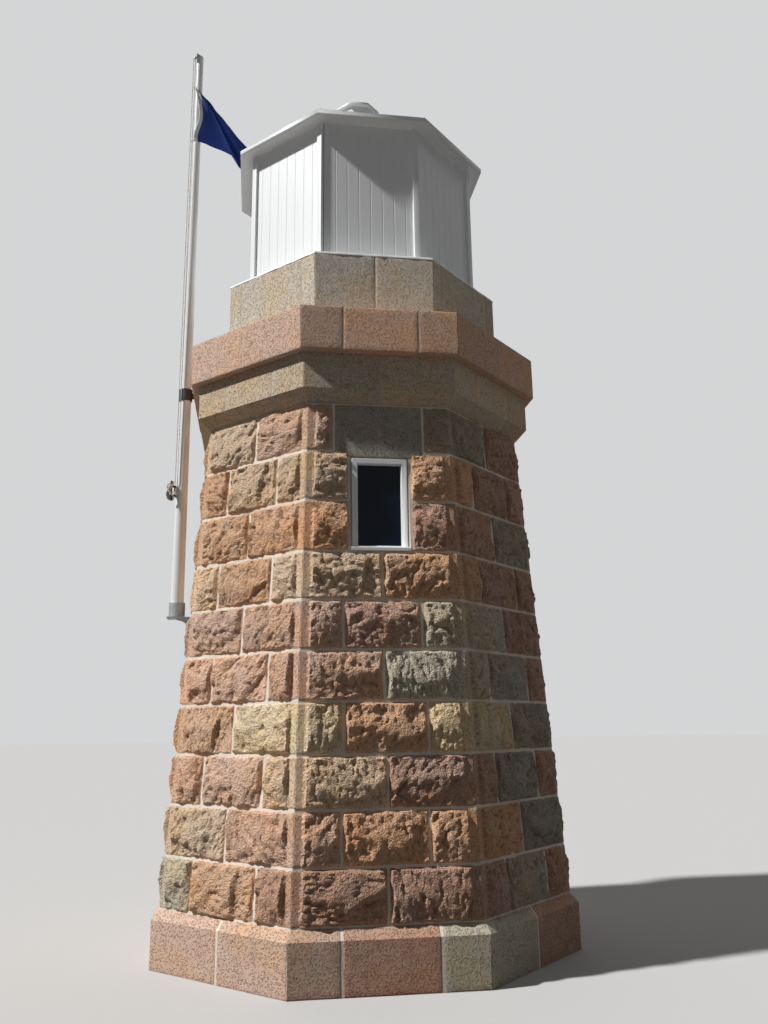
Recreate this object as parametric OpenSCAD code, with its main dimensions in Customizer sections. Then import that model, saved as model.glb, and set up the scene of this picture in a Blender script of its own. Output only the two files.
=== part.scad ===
// Small octagonal harbour light: a rock-faced granite tower with a splayed cornice,
// a blind boarded lantern, and a flagpole held on the tower's left face.
// The origin is the middle of the underside. The front, with the window, faces -Y.

/* [Plinth] */
// Width of the plinth across two opposite faces
plinth_w = 2900; // [2860:5:3100]
// Height of the plinth's upright face
plinth_h = 302; // [220:1:420]
// Height of the sloped top of the plinth
weathering_h = 61; // [40:1:90]

/* [Shaft] */
// Width of the shaft across two opposite faces at its foot
shaft_foot_w = 2800; // [2700:5:2850]
// Width of the shaft across two opposite faces at its head
shaft_head_w = 2360; // [2250:5:2450]
// Height of each of the lower courses
lower_course_h = 324.5; // [300:0.5:350]
// Number of lower courses, up to the window
lower_courses = 7; // [6:1:9]
// Height of each of the upper courses, beside and over the window
upper_course_h = 352; // [330:1:380]
// Width of the room inside across two opposite faces
room_w = 1560; // [1550:5:1640]
// How far the rough face of a stone stands out from its smooth margin
rock_out = 42; // [25:1:48]
// Width of the smooth margin along each corner of the shaft
corner_margin = 55; // [40:1:80]
// Height of the margin above and below each bed joint
bed_margin = 16; // [8:1:30]
// Height of a mortar joint
joint_h = 14; // [8:1:20]
// How far the mortar lies back from the margins
joint_back = 12; // [6:1:20]

/* [Window] */
// Width of the window opening
window_w = 400; // [340:5:440]
// Length of the stone over the window
window_lintel_w = 620; // [560:5:680]
// Width of the window's frame, seen from the front
window_rail = 37; // [30:1:50]
// Height of the window's bottom rail
window_sill_h = 44; // [36:1:60]
// Depth of the window's frame
window_frame_d = 70; // [50:1:90]
// Gap left over the frame, under the stone
window_head_gap = 50; // [10:1:60]
// Gap left on each side of the frame
window_side_gap = 10; // [4:1:16]
// Thickness of the glass
glass_t = 6; // [4:1:10]

/* [Door] */
// Width of the doorway in the back face
door_w = 640; // [560:5:640]
// Number of courses that the doorway cuts through
door_courses = 5; // [5:1:6]
// Height of the stone threshold and of the floor inside
threshold_h = 60; // [40:1:100]
// Width of the door's frame, seen from outside
door_rail = 46; // [36:1:60]
// Depth of the door's frame
door_frame_d = 80; // [60:1:100]
// Thickness of the door
door_t = 44; // [36:1:54]
// Gap between the door and its frame
door_gap = 3; // [2:0.5:6]
// Height of the knob above the threshold
knob_z = 1000; // [900:5:1100]
// Diameter of the knob
knob_d = 54; // [44:1:62]
// Width of the plate behind the knob
knob_plate_w = 46; // [36:1:60]
// Height of the plate behind the knob
knob_plate_h = 170; // [120:1:220]

/* [Cornice and parapet] */
// Height of the splay under the cornice
splay_h = 80; // [60:1:120]
// Width of the cornice across two opposite faces
cornice_w = 2546; // [2500:2:2600]
// Height of the cornice's upright face
cornice_h = 258; // [220:1:300]
// Width of the parapet band across two opposite faces
band_w = 2670; // [2620:2:2740]
// Height of the parapet band
band_h = 323; // [280:1:360]
// Width of the stone base under the lantern, across two opposite faces
lantern_base_w = 2135; // [2110:1:2200]
// Height of the stone base under the lantern
lantern_base_h = 552; // [500:1:600]
// Thickness of the floor under the lantern
lantern_floor_t = 60; // [40:1:90]
// Width of the ledge that carries the lantern's floor
floor_ledge = 50; // [30:1:70]

/* [Lantern] */
// Width of the lantern across two opposite faces, over its corner boards
lantern_w = 1854; // [1780:2:1900]
// Height of the lantern from the stone base to the soffit
lantern_h = 1226; // [1100:1:1350]
// Thickness of the sill board under the lantern
sill_t = 16; // [12:1:24]
// How far the sill board stands out past the corner boards
sill_out = 118; // [60:1:122]
// Thickness of the corner boards
corner_board_t = 20; // [14:1:30]
// Width of a corner board on each side of its corner
corner_board_w = 60; // [45:1:80]
// Thickness of the boarding
boarding_t = 28; // [20:1:40]
// How far the eaves stand out past the corner boards
eaves_out = 96; // [70:1:115]
// Height of the board round the edge of the eaves
eaves_board_h = 36; // [28:1:50]
// Thickness of the board round the edge of the eaves
eaves_board_t = 22; // [16:1:30]
// Thickness of the soffit
soffit_t = 18; // [12:1:25]
// Slope of the roof in degrees
roof_pitch = 30; // [24:0.5:34]
// Thickness of the roof, square to its slope
roof_t = 40; // [30:1:60]
// Diameter of the rolls along the roof's hips
hip_roll_d = 32; // [24:1:44]

/* [Vent] */
// Width of the vent across two opposite faces
vent_w = 318; // [280:1:350]
// Height of the vent's top above the eaves
vent_top_h = 733; // [700:1:780]
// Thickness of the vent's sides
vent_t = 20; // [12:1:30]
// Width of the vent's lid across two opposite faces
lid_w = 377; // [360:1:420]
// Thickness of the lid's edge
lid_t = 23; // [16:1:30]
// Height of the lid's low point
lid_rise = 26; // [15:1:40]

/* [Flagpole] */
// Distance of the pole's middle from the parapet band
pole_clear = 85; // [75:1:110]
// Height of the pole's foot above the ground
pole_foot_z = 2340; // [2300:5:2400]
// Length of the pole
pole_l = 5050; // [4900:10:5300]
// Diameter of the pole at its foot
pole_foot_d = 100; // [90:1:108]
// Diameter of the pole at its top
pole_top_d = 60; // [50:1:70]
// Outer diameter of the collar round the pole's foot
collar_d = 122; // [116:1:130]
// Height of the collar
collar_h = 112; // [90:1:140]
// Thickness of the bracket's plates
bracket_t = 10; // [8:1:14]
// Width of the bracket's plates
bracket_w = 124; // [118:2:150]
// Height of the bracket's wall plate
bracket_h = 168; // [150:1:180]
// Height of the clamp's middle above the underside of the parapet band
clamp_z = 121; // [80:1:200]
// Height of the clamp
clamp_h = 96; // [70:1:110]
// Thickness of the clamp's ring
clamp_t = 9; // [6:1:12]
// Width of the clamp's arm
clamp_arm = 40; // [30:1:60]

/* [Halyard and flag] */
// Side of the pole where the halyard runs, in degrees from the front towards the left
halyard_turn = 50; // [30:1:70]
// Diameter of the halyard
halyard_d = 7; // [5:0.5:9]
// Gap between the halyard and the pole's foot diameter
halyard_gap = 3; // [2:0.5:6]
// Distance between the halyard's two lines
halyard_pair = 28; // [24:1:34]
// Height of the cleat's middle above the pole's foot
cleat_z = 991; // [900:1:1300]
// Length of the cleat
cleat_l = 150; // [120:1:170]
// Diameter of the cleat's two posts
cleat_post_d = 18; // [14:1:24]
// Diameter of the cleat's bar
cleat_bar_d = 15; // [12:1:20]
// Distance of the cleat's bar from the halyard
cleat_out = 44; // [38:1:60]
// Drop from the pole's top to the flag's top
flag_drop = 350; // [300:5:450]
// Height of the flag along the halyard
flag_hoist = 540; // [480:5:600]
// Reach of the flag from the halyard to its loose end, along X
flag_reach = 650; // [550:5:700]
// Height of the gathered cloth at its loose end
flag_end_h = 170; // [120:5:220]
// Drop of the flag's upper edge from the halyard to the loose end
flag_sag = 420; // [360:5:460]
// Direction in which the flag trails, in degrees from the right towards the back
flag_heading = 33; // [28:1:40]
// Sideways swing of the flag's folds
flag_fold = 22; // [10:1:30]
// Number of folds from the pole to the loose end
flag_folds = 2.5; // [1.5:0.5:3.5]
// Thickness of the gathered cloth
flag_t = 14; // [10:1:20]

/* [Hidden] */

eps = 0.01;
half_turn = 22.5;
faces = 8;
// Further out than any stone of the tower, for sections and cuts
beyond = 2 * plinth_w;
eaves_w = lantern_w + 2 * eaves_out;

// Heights of the main levels above the ground
shaft_z = plinth_h + weathering_h;
window_z = shaft_z + lower_courses * lower_course_h;
window_top_z = window_z + 2 * upper_course_h;
head_z = window_top_z + upper_course_h;
cornice_top_z = head_z + splay_h + cornice_h;
band_top_z = cornice_top_z + band_h;
base_top_z = band_top_z + lantern_base_h;
soffit_z = base_top_z + lantern_h;
eaves_z = soffit_z + eaves_board_h;
vent_top_z = eaves_z + vent_top_h;
door_top_z = shaft_z + door_courses * lower_course_h;
course_count = lower_courses + 3;
roof_top_z = eaves_z + (eaves_w - vent_w) / 2 * tan(roof_pitch);

// Height of the bed joint under a course, counted from the shaft's foot
function bed(i) = shaft_z + min(i, lower_courses) * lower_course_h
    + max(i - lower_courses, 0) * upper_course_h;
// Distance of the shaft's margins from the middle, at a height
function face_r(z) = shaft_foot_w / 2
    - (z - shaft_z) / (head_z - shaft_z) * (shaft_foot_w - shaft_head_w) / 2;
// The pole clears the band above it, and its collar clears the rough faces beside its foot
pole_x = max(band_w / 2 + pole_clear, face_r(pole_foot_z) + rock_out + collar_d / 2 + bracket_t);
// Diameter of the pole at a height
function pole_d(z) = pole_foot_d - (z - pole_foot_z) / pole_l * (pole_foot_d - pole_top_d);

stone = "#a87860";
pale_stone = "#9a8c78";
white = "#f2f2f0";
grey = "#8d9194";
dark = "#3a3c40";

module octagon(w) {
    rotate(half_turn) circle(r = w / 2 / cos(half_turn), $fn = faces);
}

// A straight eight-sided ring
module ring(outer, inner, h) {
    difference() {
        linear_extrude(h) octagon(outer);
        translate([0, 0, -1]) linear_extrude(h + 2) octagon(inner);
    }
}

// A solid whose level sections are octagons. Each point is a half width and a height.
module eight_sided(profile) {
    n = len(profile);
    outline = concat(profile, [for (i = [n - 1:-1:0]) [-profile[i][0], profile[i][1]]]);
    intersection_for (turn = [0:45:135])
        rotate([90, 0, turn]) linear_extrude(beyond, center = true) polygon(outline);
}

// The share of the plan that belongs to one face, drawn in on each side by a margin
module face_share(margin) {
    side = margin / cos(half_turn);
    spread = beyond * tan(half_turn);
    translate([0, 0, -eps]) linear_extrude(head_z + 2 * eps)
        polygon([[0, -side / tan(half_turn)], [-spread + side, -beyond], [spread - side, -beyond]]);
}

// A section in the plane square to the front face, drawn out along that face
module along_face(length) {
    rotate([90, 0, -90]) linear_extrude(length, center = true) children();
}

// Section of a wall from one bed joint to another, with its recessed joints
module wall_section(first, last) {
    outer = [for (i = [first:last - 1])
        let (z0 = bed(i) + joint_h / 2, z1 = bed(i + 1) - joint_h / 2)
        each [[face_r(z0) - joint_back, z0], [face_r(z0), z0],
              [face_r(z1), z1], [face_r(z1) - joint_back, z1]]];
    polygon(concat(
        [[room_w / 2, bed(first)], [face_r(bed(first)) - joint_back, bed(first)]],
        outer,
        [[face_r(bed(last)) - joint_back, bed(last)], [room_w / 2, bed(last)]]));
}

// Section of the rough faces that stand out from each course
module rock_section(first, last) {
    for (i = [first:last - 1]) {
        z0 = bed(i) + joint_h / 2 + bed_margin;
        z1 = bed(i + 1) - joint_h / 2 - bed_margin;
        polygon([
            [face_r(z0) - rock_out, z0], [face_r(z0), z0],
            [face_r(z0 + rock_out) + rock_out, z0 + rock_out],
            [face_r(z1 - rock_out) + rock_out, z1 - rock_out],
            [face_r(z1), z1], [face_r(z1) - rock_out, z1]]);
    }
}

// Courses of one face of the shaft, mitred at the corners.
// Children are cut out of it, and the rough faces keep clear of them.
module wall(face, first, last) {
    rotate(face * 45) difference() {
        union() {
            intersection() {
                along_face(beyond) wall_section(first, last);
                face_share(0);
            }
            intersection() {
                along_face(beyond) rock_section(first, last);
                face_share(corner_margin * cos(half_turn));
            }
        }
        children();
    }
}

// Space of an opening in the front face, its middle on the middle of that face
module opening(w, z0, z1) {
    translate([-w / 2, -beyond, z0]) cube([w, beyond, z1 - z0]);
}

module plinth() {
    color(stone) difference() {
        eight_sided([
            [plinth_w / 2, 0], [plinth_w / 2, plinth_h],
            [shaft_foot_w / 2, shaft_z]]);
        translate([0, 0, -1]) linear_extrude(shaft_z + 2) octagon(room_w);
        rotate(180) opening(door_w, -1, shaft_z + 1);
    }
}

module ground_floor() {
    color(pale_stone) linear_extrude(threshold_h) octagon(room_w);
}

module door_threshold() {
    color(pale_stone) translate([-door_w / 2, room_w / 2, 0])
        cube([door_w, (plinth_w - room_w) / 2, threshold_h]);
}

module front_wall() {
    color(stone) wall(0, 0, lower_courses);
}

// One side of the window, with the end stone beside the lintel over it
module window_jamb(side) {
    first = lower_courses;
    color(stone) intersection() {
        wall(0, first, course_count) {
            opening(window_w, window_z - 1, window_top_z + eps);
            opening(window_lintel_w, window_top_z, head_z + 1);
            rock_clearance();
        }
        one_side(side);
    }
}

// Everything on one side of the middle of the front face
module one_side(side) {
    mirror([side < 0 ? 1 : 0, 0, 0]) translate([0, -beyond, 0]) cube([beyond, beyond, head_z + 1]);
}

// Takes the rough faces back from the edges of the window and of its lintel
module rock_clearance() {
    for (part = [[window_w, window_z, window_top_z], [window_lintel_w, window_top_z, head_z]])
        intersection() {
            opening(part[0] + 2 * bed_margin, part[1] - 1, part[2] + 1);
            along_face(beyond) rock_front(part[1] - 2, part[2] + 2);
        }
}

// Section of the space in front of the smooth margins
module rock_front(z0, z1) {
    polygon([[face_r(z0), z0], [beyond, z0], [beyond, z1], [face_r(z1), z1]]);
}

module window_jamb_left() { window_jamb(-1); }
module window_jamb_right() { window_jamb(1); }

// The stone over the window is dressed smooth, and its face lies with the rough faces
module window_lintel() {
    z0 = window_top_z + joint_h / 2;
    z1 = head_z - joint_h / 2;
    color(pale_stone) along_face(window_lintel_w) polygon([
        [room_w / 2, window_top_z], [face_r(window_top_z) - joint_back, window_top_z],
        [face_r(z0) - joint_back, z0], [face_r(z0) + rock_out / 2, z0],
        [face_r(z1) + rock_out / 2, z1], [face_r(z1) - joint_back, z1],
        [face_r(head_z) - joint_back, head_z], [room_w / 2, head_z]]);
}

module front_right_wall() { color(stone) wall(1, 0, course_count); }
module right_wall() { color(stone) wall(2, 0, course_count); }
module back_right_wall() { color(stone) wall(3, 0, course_count); }
module back_left_wall() { color(stone) wall(5, 0, course_count); }
module left_wall() { color(stone) wall(6, 0, course_count) bracket_bed(); }
module front_left_wall() { color(stone) wall(7, 0, course_count); }

module back_wall() { color(stone) wall(4, door_courses + 1, course_count); }
module door_lintel() { color(stone) wall(4, door_courses, door_courses + 1); }

// One side of the doorway. The left one is on the left of somebody who faces the door.
module door_jamb(side) {
    color(stone) rotate(180) intersection() {
        wall(0, 0, door_courses) opening(door_w, shaft_z - 1, door_top_z + 1);
        one_side(side);
    }
}

module door_jamb_left() { door_jamb(-1); }
module door_jamb_right() { door_jamb(1); }

// The window stands upright, level with the margins at the top of its opening
window_y = -(face_r(window_top_z) + rock_out / 4);
window_frame_w = window_w - 2 * window_side_gap;
window_frame_top = window_top_z - window_head_gap;

module window_frame() {
    glass_h = window_frame_top - window_z - window_sill_h - window_rail;
    color(white) {
        difference() {
            translate([-window_frame_w / 2, window_y, window_z])
                cube([window_frame_w, window_frame_d, window_frame_top - window_z]);
            translate([-window_frame_w / 2 + window_rail, window_y - 1, window_z + window_sill_h])
                cube([window_frame_w - 2 * window_rail, window_frame_d + 2, glass_h]);
        }
        // Packing between the frame and the stones round it
        translate([-window_w / 2, window_y + window_frame_d / 2, window_z]) difference() {
            cube([window_w, window_frame_d / 2, 2 * upper_course_h]);
            translate([window_side_gap, -1, -1])
                cube([window_frame_w, window_frame_d, window_frame_top - window_z + 1]);
        }
    }
}

module window_glass() {
    color("#1c242c", 0.8)
        translate([-window_frame_w / 2 + window_rail, window_y + window_frame_d / 2,
                   window_z + window_sill_h])
        cube([window_frame_w - 2 * window_rail, glass_t,
              window_frame_top - window_z - window_sill_h - window_rail]);
}

// The door stands upright in the back face, just inside the margins over it
door_y = face_r(door_top_z) - joint_back;

module door_frame() {
    color(white) translate([0, door_y - door_frame_d, threshold_h]) difference() {
        translate([-door_w / 2, 0, 0]) cube([door_w, door_frame_d, door_top_z - threshold_h]);
        translate([-door_w / 2 + door_rail, -1, -1])
            cube([door_w - 2 * door_rail, door_frame_d + 2, door_top_z - threshold_h - door_rail + 1]);
    }
}

module door_leaf() {
    leaf_w = door_w - 2 * door_rail - 2 * door_gap;
    color(white) translate([-leaf_w / 2, door_y - door_t - door_gap, threshold_h + door_gap])
        cube([leaf_w, door_t, door_top_z - threshold_h - door_rail - 2 * door_gap]);
}

knob_plate_t = 6;
knob_stem_d = 20;

module door_handle() {
    stem_l = knob_d / 2;
    knob_l = 0.75 * knob_d;
    x = -(door_w / 2 - door_rail - door_gap - 1.5 * knob_plate_w);
    color(dark) translate([x, door_y - door_gap, threshold_h + knob_z]) {
        translate([-knob_plate_w / 2, 0, -knob_plate_h / 2])
            cube([knob_plate_w, knob_plate_t, knob_plate_h]);
        rotate([-90, 0, 0]) {
            cylinder(h = stem_l, d = knob_stem_d, $fn = 32);
            translate([0, 0, stem_l + knob_l / 2 - knob_plate_t]) intersection() {
                sphere(d = knob_d, $fn = 48);
                cylinder(h = knob_l, d = knob_d + eps, center = true, $fn = 48);
            }
        }
    }
}

module cornice() {
    color(pale_stone) difference() {
        eight_sided([
            [shaft_head_w / 2, head_z], [cornice_w / 2, head_z + splay_h],
            [cornice_w / 2, cornice_top_z]]);
        translate([0, 0, head_z - 1]) linear_extrude(splay_h + cornice_h + 2) octagon(room_w);
    }
}

module parapet_band() {
    color(stone) translate([0, 0, cornice_top_z])
        ring(band_w, room_w + 2 * floor_ledge, band_h);
}

module lantern_base() {
    color(pale_stone) translate([0, 0, band_top_z])
        ring(lantern_base_w, room_w + 2 * floor_ledge, lantern_base_h);
}

module lantern_floor() {
    color("#8a6f52") translate([0, 0, cornice_top_z])
        linear_extrude(lantern_floor_t) octagon(room_w + 2 * floor_ledge);
}

boarding_w = lantern_w - 2 * corner_board_t;
boarding_in_w = boarding_w - 2 * boarding_t;

module lantern_sill() {
    color(white) translate([0, 0, base_top_z])
        ring(lantern_w + 2 * sill_out, boarding_in_w, sill_t);
}

module lantern_boarding() {
    color(white) translate([0, 0, base_top_z + sill_t])
        ring(boarding_w, boarding_in_w, lantern_h - sill_t);
}

module corner_boards() {
    bare_w = lantern_w * tan(half_turn) - 2 * corner_board_w;
    color(white) translate([0, 0, base_top_z + sill_t]) linear_extrude(lantern_h - sill_t)
        difference() {
            octagon(lantern_w);
            octagon(boarding_w);
            for (k = [0:faces - 1])
                rotate(k * 45) translate([-bare_w / 2, lantern_w / 2 - 3 * corner_board_t])
                    square([bare_w, 4 * corner_board_t]);
        }
}

module soffit() {
    color(white) translate([0, 0, soffit_z])
        ring(eaves_w - 2 * eaves_board_t, boarding_in_w, soffit_t);
}

module eaves_board() {
    color(white) translate([0, 0, soffit_z])
        ring(eaves_w, eaves_w - 2 * eaves_board_t, eaves_board_h);
}

module lantern_roof() {
    upright = roof_t / cos(roof_pitch);
    along = roof_t / sin(roof_pitch);
    color(white) difference() {
        eight_sided([[eaves_w / 2, eaves_z], [vent_w / 2, roof_top_z]]);
        eight_sided([
            [eaves_w / 2 - along + 1 / tan(roof_pitch), eaves_z - 1],
            [vent_w / 2 - vent_t, roof_top_z - upright + vent_t * tan(roof_pitch)]]);
        translate([0, 0, eaves_z]) linear_extrude(vent_top_h) octagon(vent_w - 2 * vent_t);
    }
}

// Rolls along the roof's hips, sunk by half into the slopes and ending at the vent
module hip_rolls() {
    foot_r = (eaves_w / 2 - hip_roll_d) / cos(half_turn);
    head_r = vent_w / 2 / cos(half_turn);
    rise = (eaves_w - vent_w) / 2 * tan(roof_pitch) * (foot_r - head_r)
        / ((eaves_w - vent_w) / 2 / cos(half_turn));
    slope = atan2(rise, foot_r - head_r);
    color(white) difference() {
        for (k = [0:faces - 1])
            rotate(k * 45 + half_turn) translate([head_r, 0, roof_top_z]) rotate([0, 90 + slope, 0])
                cylinder(h = (foot_r - head_r) / cos(slope), d = hip_roll_d, $fn = 24);
        eight_sided([[eaves_w / 2, eaves_z], [vent_w / 2, roof_top_z]]);
        linear_extrude(vent_top_z) octagon(vent_w);
    }
}

module vent_drum() {
    color(white) translate([0, 0, roof_top_z])
        ring(vent_w, vent_w - 2 * vent_t, vent_top_z - roof_top_z);
}

module vent_lid() {
    color(white) eight_sided([
        [lid_w / 2, vent_top_z], [lid_w / 2, vent_top_z + lid_t],
        [vent_t, vent_top_z + lid_t + lid_rise]]);
}

pole_top_z = pole_foot_z + pole_l;

module pole_shape() {
    translate([-pole_x, 0, pole_foot_z])
        cylinder(h = pole_l, d1 = pole_foot_d, d2 = pole_top_d, $fn = 64);
}

module flagpole() {
    color(white) pole_shape();
}

// Turns its children to the halyard's side of the pole
module halyard_side() {
    translate([-pole_x, 0, 0]) rotate(-halyard_turn) children();
}

halyard_r = (pole_foot_d + halyard_d) / 2 + halyard_gap;
sheave_z = pole_top_z - halyard_pair;
truck_w = halyard_pair + 2 * halyard_d;
truck_t = 5;
truck_cap = 12;
sheave_t = halyard_d + 2;

// Cap on the pole's top, with an arm that carries the halyard's sheave
module pole_truck() {
    arm_in = halyard_r - sheave_t / 2 - truck_t;
    color(grey) {
        translate([-pole_x, 0, pole_top_z])
            cylinder(h = truck_cap, d1 = pole_top_d, d2 = pole_top_d / 2, $fn = 64);
        halyard_side() {
            difference() {
                translate([-truck_w / 2, -arm_in - truck_t, sheave_z - truck_w / 2])
                    cube([truck_w, arm_in + truck_t, truck_w / 2 + pole_top_z + truck_cap / 2 - sheave_z]);
                translate([-truck_w / 2 - 1, -arm_in, sheave_z - truck_w / 2 - 1])
                    cube([truck_w + 2, arm_in + 1, truck_w / 2 + pole_top_z - sheave_z + 1]);
                cylinder(h = 2 * pole_top_z, d = pole_top_d / 2, $fn = 64);
            }
            translate([0, -arm_in - truck_t, sheave_z]) rotate([90, 0, 0])
                cylinder(h = sheave_t, d = halyard_pair - halyard_d, $fn = 48);
        }
    }
}

module pole_collar() {
    color(grey) translate([-pole_x, 0, pole_foot_z]) difference() {
        cylinder(h = collar_h, d = collar_d, $fn = 64);
        translate([0, 0, -1]) cylinder(h = collar_h + 2, d = pole_foot_d, $fn = 64);
    }
}

// Turns its children from the front face to the left face
module on_left_face() {
    rotate(-90) children();
}

bracket_out = pole_x + collar_d / 2 + bracket_t;
bracket_foot_z = pole_foot_z - bracket_t - bracket_h;
gusset_steps = 12;

// Shelf, wall plate and hollow-curved gusset under the pole's foot
module pole_bracket() {
    shelf_z = pole_foot_z - bracket_t;
    web_in = face_r(bracket_foot_z) + bracket_t / 2;
    color(grey) on_left_face() {
        along_face(bracket_w) {
            polygon([
                [face_r(shelf_z), shelf_z], [bracket_out, shelf_z],
                [bracket_out, pole_foot_z], [face_r(pole_foot_z), pole_foot_z]]);
            polygon([
                [face_r(bracket_foot_z), bracket_foot_z],
                [face_r(bracket_foot_z) + bracket_t, bracket_foot_z],
                [face_r(shelf_z) + bracket_t, shelf_z + eps], [face_r(shelf_z), shelf_z + eps]]);
        }
        along_face(bracket_t) polygon(concat(
            [[face_r(shelf_z) + bracket_t / 2, shelf_z + eps], [web_in, bracket_foot_z]],
            [for (i = [0:gusset_steps])
                let (turn = 90 * i / gusset_steps)
                [web_in + bracket_t + (pole_x - web_in - bracket_t) * (1 - cos(turn)),
                 bracket_foot_z + (bracket_h - bracket_t) * sin(turn)]],
            [[pole_x, shelf_z + eps]]));
    }
}

// Space in which the left wall's stones are dressed flat behind the bracket
module bracket_bed() {
    intersection() {
        translate([-bracket_w / 2 - bed_margin, -beyond, bracket_foot_z - bed_margin])
            cube([bracket_w + 2 * bed_margin, beyond, bracket_h + 2 * bracket_t + 2 * bed_margin]);
        along_face(beyond) rock_front(bracket_foot_z - 2 * bed_margin, pole_foot_z + 3 * bed_margin);
    }
}

clamp_mid_z = cornice_top_z + clamp_z;

// Ring round the pole, with an arm and a foot on the parapet band
module pole_clamp() {
    foot_w = 2 * clamp_arm;
    color(dark) difference() {
        union() {
            translate([-pole_x, 0, clamp_mid_z - clamp_h / 2])
                cylinder(h = clamp_h, d = pole_d(clamp_mid_z) + 2 * clamp_t, $fn = 64);
            translate([-pole_x, -clamp_arm / 2, clamp_mid_z - clamp_arm / 2])
                cube([pole_x - band_w / 2, clamp_arm, clamp_arm]);
            translate([-band_w / 2 - clamp_t, -foot_w / 2, clamp_mid_z - foot_w / 2])
                cube([clamp_t, foot_w, foot_w]);
        }
        pole_shape();
    }
}

cleat_mid_z = pole_foot_z + cleat_z;

// One line of the halyard, from the cleat to the sheave
module halyard_line(side) {
    translate([side * halyard_pair / 2, -halyard_r, cleat_mid_z])
        cylinder(h = sheave_z - cleat_mid_z, d = halyard_d, $fn = 24);
}

// Two lines joined over the sheave, and the turns made fast round the cleat
module halyard() {
    r = pole_d(cleat_mid_z) / 2;
    hitch_d = cleat_post_d + 2 * halyard_d;
    color("#d9dadb") halyard_side() {
        halyard_line(-1);
        halyard_line(1);
        translate([0, -halyard_r, sheave_z]) rotate([90, 0, 0])
            rotate_extrude(angle = 180, $fn = 48)
                translate([halyard_pair / 2, 0]) circle(d = halyard_d, $fn = 24);
        translate([0, -halyard_r + halyard_d, cleat_mid_z]) rotate([90, 0, 0])
            linear_extrude(3 * halyard_d) difference() {
                stadium(hitch_d + 2 * halyard_d, cleat_l / 2);
                stadium(cleat_post_d, cleat_l / 2);
            }
    }
}

// Outline with two round ends, their middles a distance apart
module stadium(w, between) {
    for (end = [-1, 1])
        translate([0, end * between / 2]) circle(d = w, $fn = 48);
    square([w, between], center = true);
}

module halyard_cleat() {
    color(dark) difference() {
        halyard_side() translate([0, 0, cleat_mid_z]) {
            for (end = [-1, 1])
                translate([0, 0, end * cleat_l / 4]) rotate([90, 0, 0])
                    cylinder(h = halyard_r + cleat_out, d = cleat_post_d, $fn = 32);
            translate([0, -halyard_r - cleat_out, -cleat_l / 2])
                cylinder(h = cleat_l, d = cleat_bar_d, $fn = 32);
            for (end = [-1, 1])
                translate([0, -halyard_r - cleat_out, end * cleat_l / 2]) sphere(d = cleat_bar_d, $fn = 32);
        }
        pole_shape();
    }
}

flag_top_z = pole_top_z - flag_drop;
flag_x = -pole_x - halyard_r * sin(halyard_turn) + halyard_pair / 2 * cos(halyard_turn);
flag_y = -halyard_r * cos(halyard_turn) - halyard_pair / 2 * sin(halyard_turn);
flag_wrap = pole_foot_d;
flag_steps = 32;

// Middle of the folded cloth in plan: past the pole first, then away in folds
function flag_mid(t) =
    let (x = t * flag_reach, away = max(x - flag_wrap, 0))
    [flag_x + x, flag_y + away * tan(flag_heading)
        + flag_fold * sin(away / flag_reach * flag_folds * 360) * min(away / flag_wrap, 1)];

module flag() {
    mid = [for (i = [0:flag_steps]) flag_mid(i / flag_steps)];
    side = flag_t / 2 / cos(flag_heading);
    band = concat([for (p = mid) p - [0, side]], [for (i = [flag_steps:-1:0]) mid[i] + [0, side]]);
    color("#1c3f8c") difference() {
        intersection() {
            translate([0, 0, flag_top_z - flag_hoist - flag_sag])
                linear_extrude(flag_hoist + 2 * flag_sag) polygon(band);
            rotate([90, 0, 0]) linear_extrude(beyond, center = true) polygon([
                [flag_x, flag_top_z], [flag_x + flag_reach / 4, flag_top_z - flag_sag / 3],
                [flag_x + flag_reach, flag_top_z - flag_sag],
                [flag_x + flag_reach, flag_top_z - flag_sag - flag_end_h],
                [flag_x + flag_reach / 2, flag_top_z - flag_hoist],
                [flag_x, flag_top_z - flag_hoist]]);
        }
        halyard_side() halyard_line(1);
    }
}

plinth();
ground_floor();
door_threshold();
front_wall();
window_jamb_left();
window_jamb_right();
window_lintel();
front_right_wall();
right_wall();
back_right_wall();
back_wall();
door_lintel();
door_jamb_left();
door_jamb_right();
back_left_wall();
left_wall();
front_left_wall();
window_frame();
window_glass();
door_frame();
door_leaf();
door_handle();
cornice();
parapet_band();
lantern_base();
lantern_floor();
lantern_sill();
lantern_boarding();
corner_boards();
soffit();
eaves_board();
lantern_roof();
hip_rolls();
vent_drum();
vent_lid();
flagpole();
pole_truck();
pole_collar();
pole_bracket();
pole_clamp();
halyard();
halyard_cleat();
flag();
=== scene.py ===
"""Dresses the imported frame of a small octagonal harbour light: stones, joinery, flagpole and flag."""

import math

import bmesh
import bpy
import numpy as np
from bpy.props import FloatProperty, FloatVectorProperty, IntProperty, PointerProperty
from mathutils import Matrix, Vector


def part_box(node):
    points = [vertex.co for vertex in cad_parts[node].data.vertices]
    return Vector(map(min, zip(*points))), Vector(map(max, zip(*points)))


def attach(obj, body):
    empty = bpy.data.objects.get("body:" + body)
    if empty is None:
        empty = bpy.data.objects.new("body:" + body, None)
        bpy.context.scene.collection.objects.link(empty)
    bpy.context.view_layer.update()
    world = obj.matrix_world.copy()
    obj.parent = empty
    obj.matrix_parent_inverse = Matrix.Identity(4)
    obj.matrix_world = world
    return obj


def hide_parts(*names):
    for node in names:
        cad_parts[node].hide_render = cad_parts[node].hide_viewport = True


bl_info = {
    "name": "Harbour Light",
    "version": (1, 0, 0),
    "blender": (4, 5, 0),
    "location": "3D View > Sidebar > Harbour Light",
    "description": "Dresses the frame of a small harbour light: stones, boards, pole and flag",
    "category": "Object",
}

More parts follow.
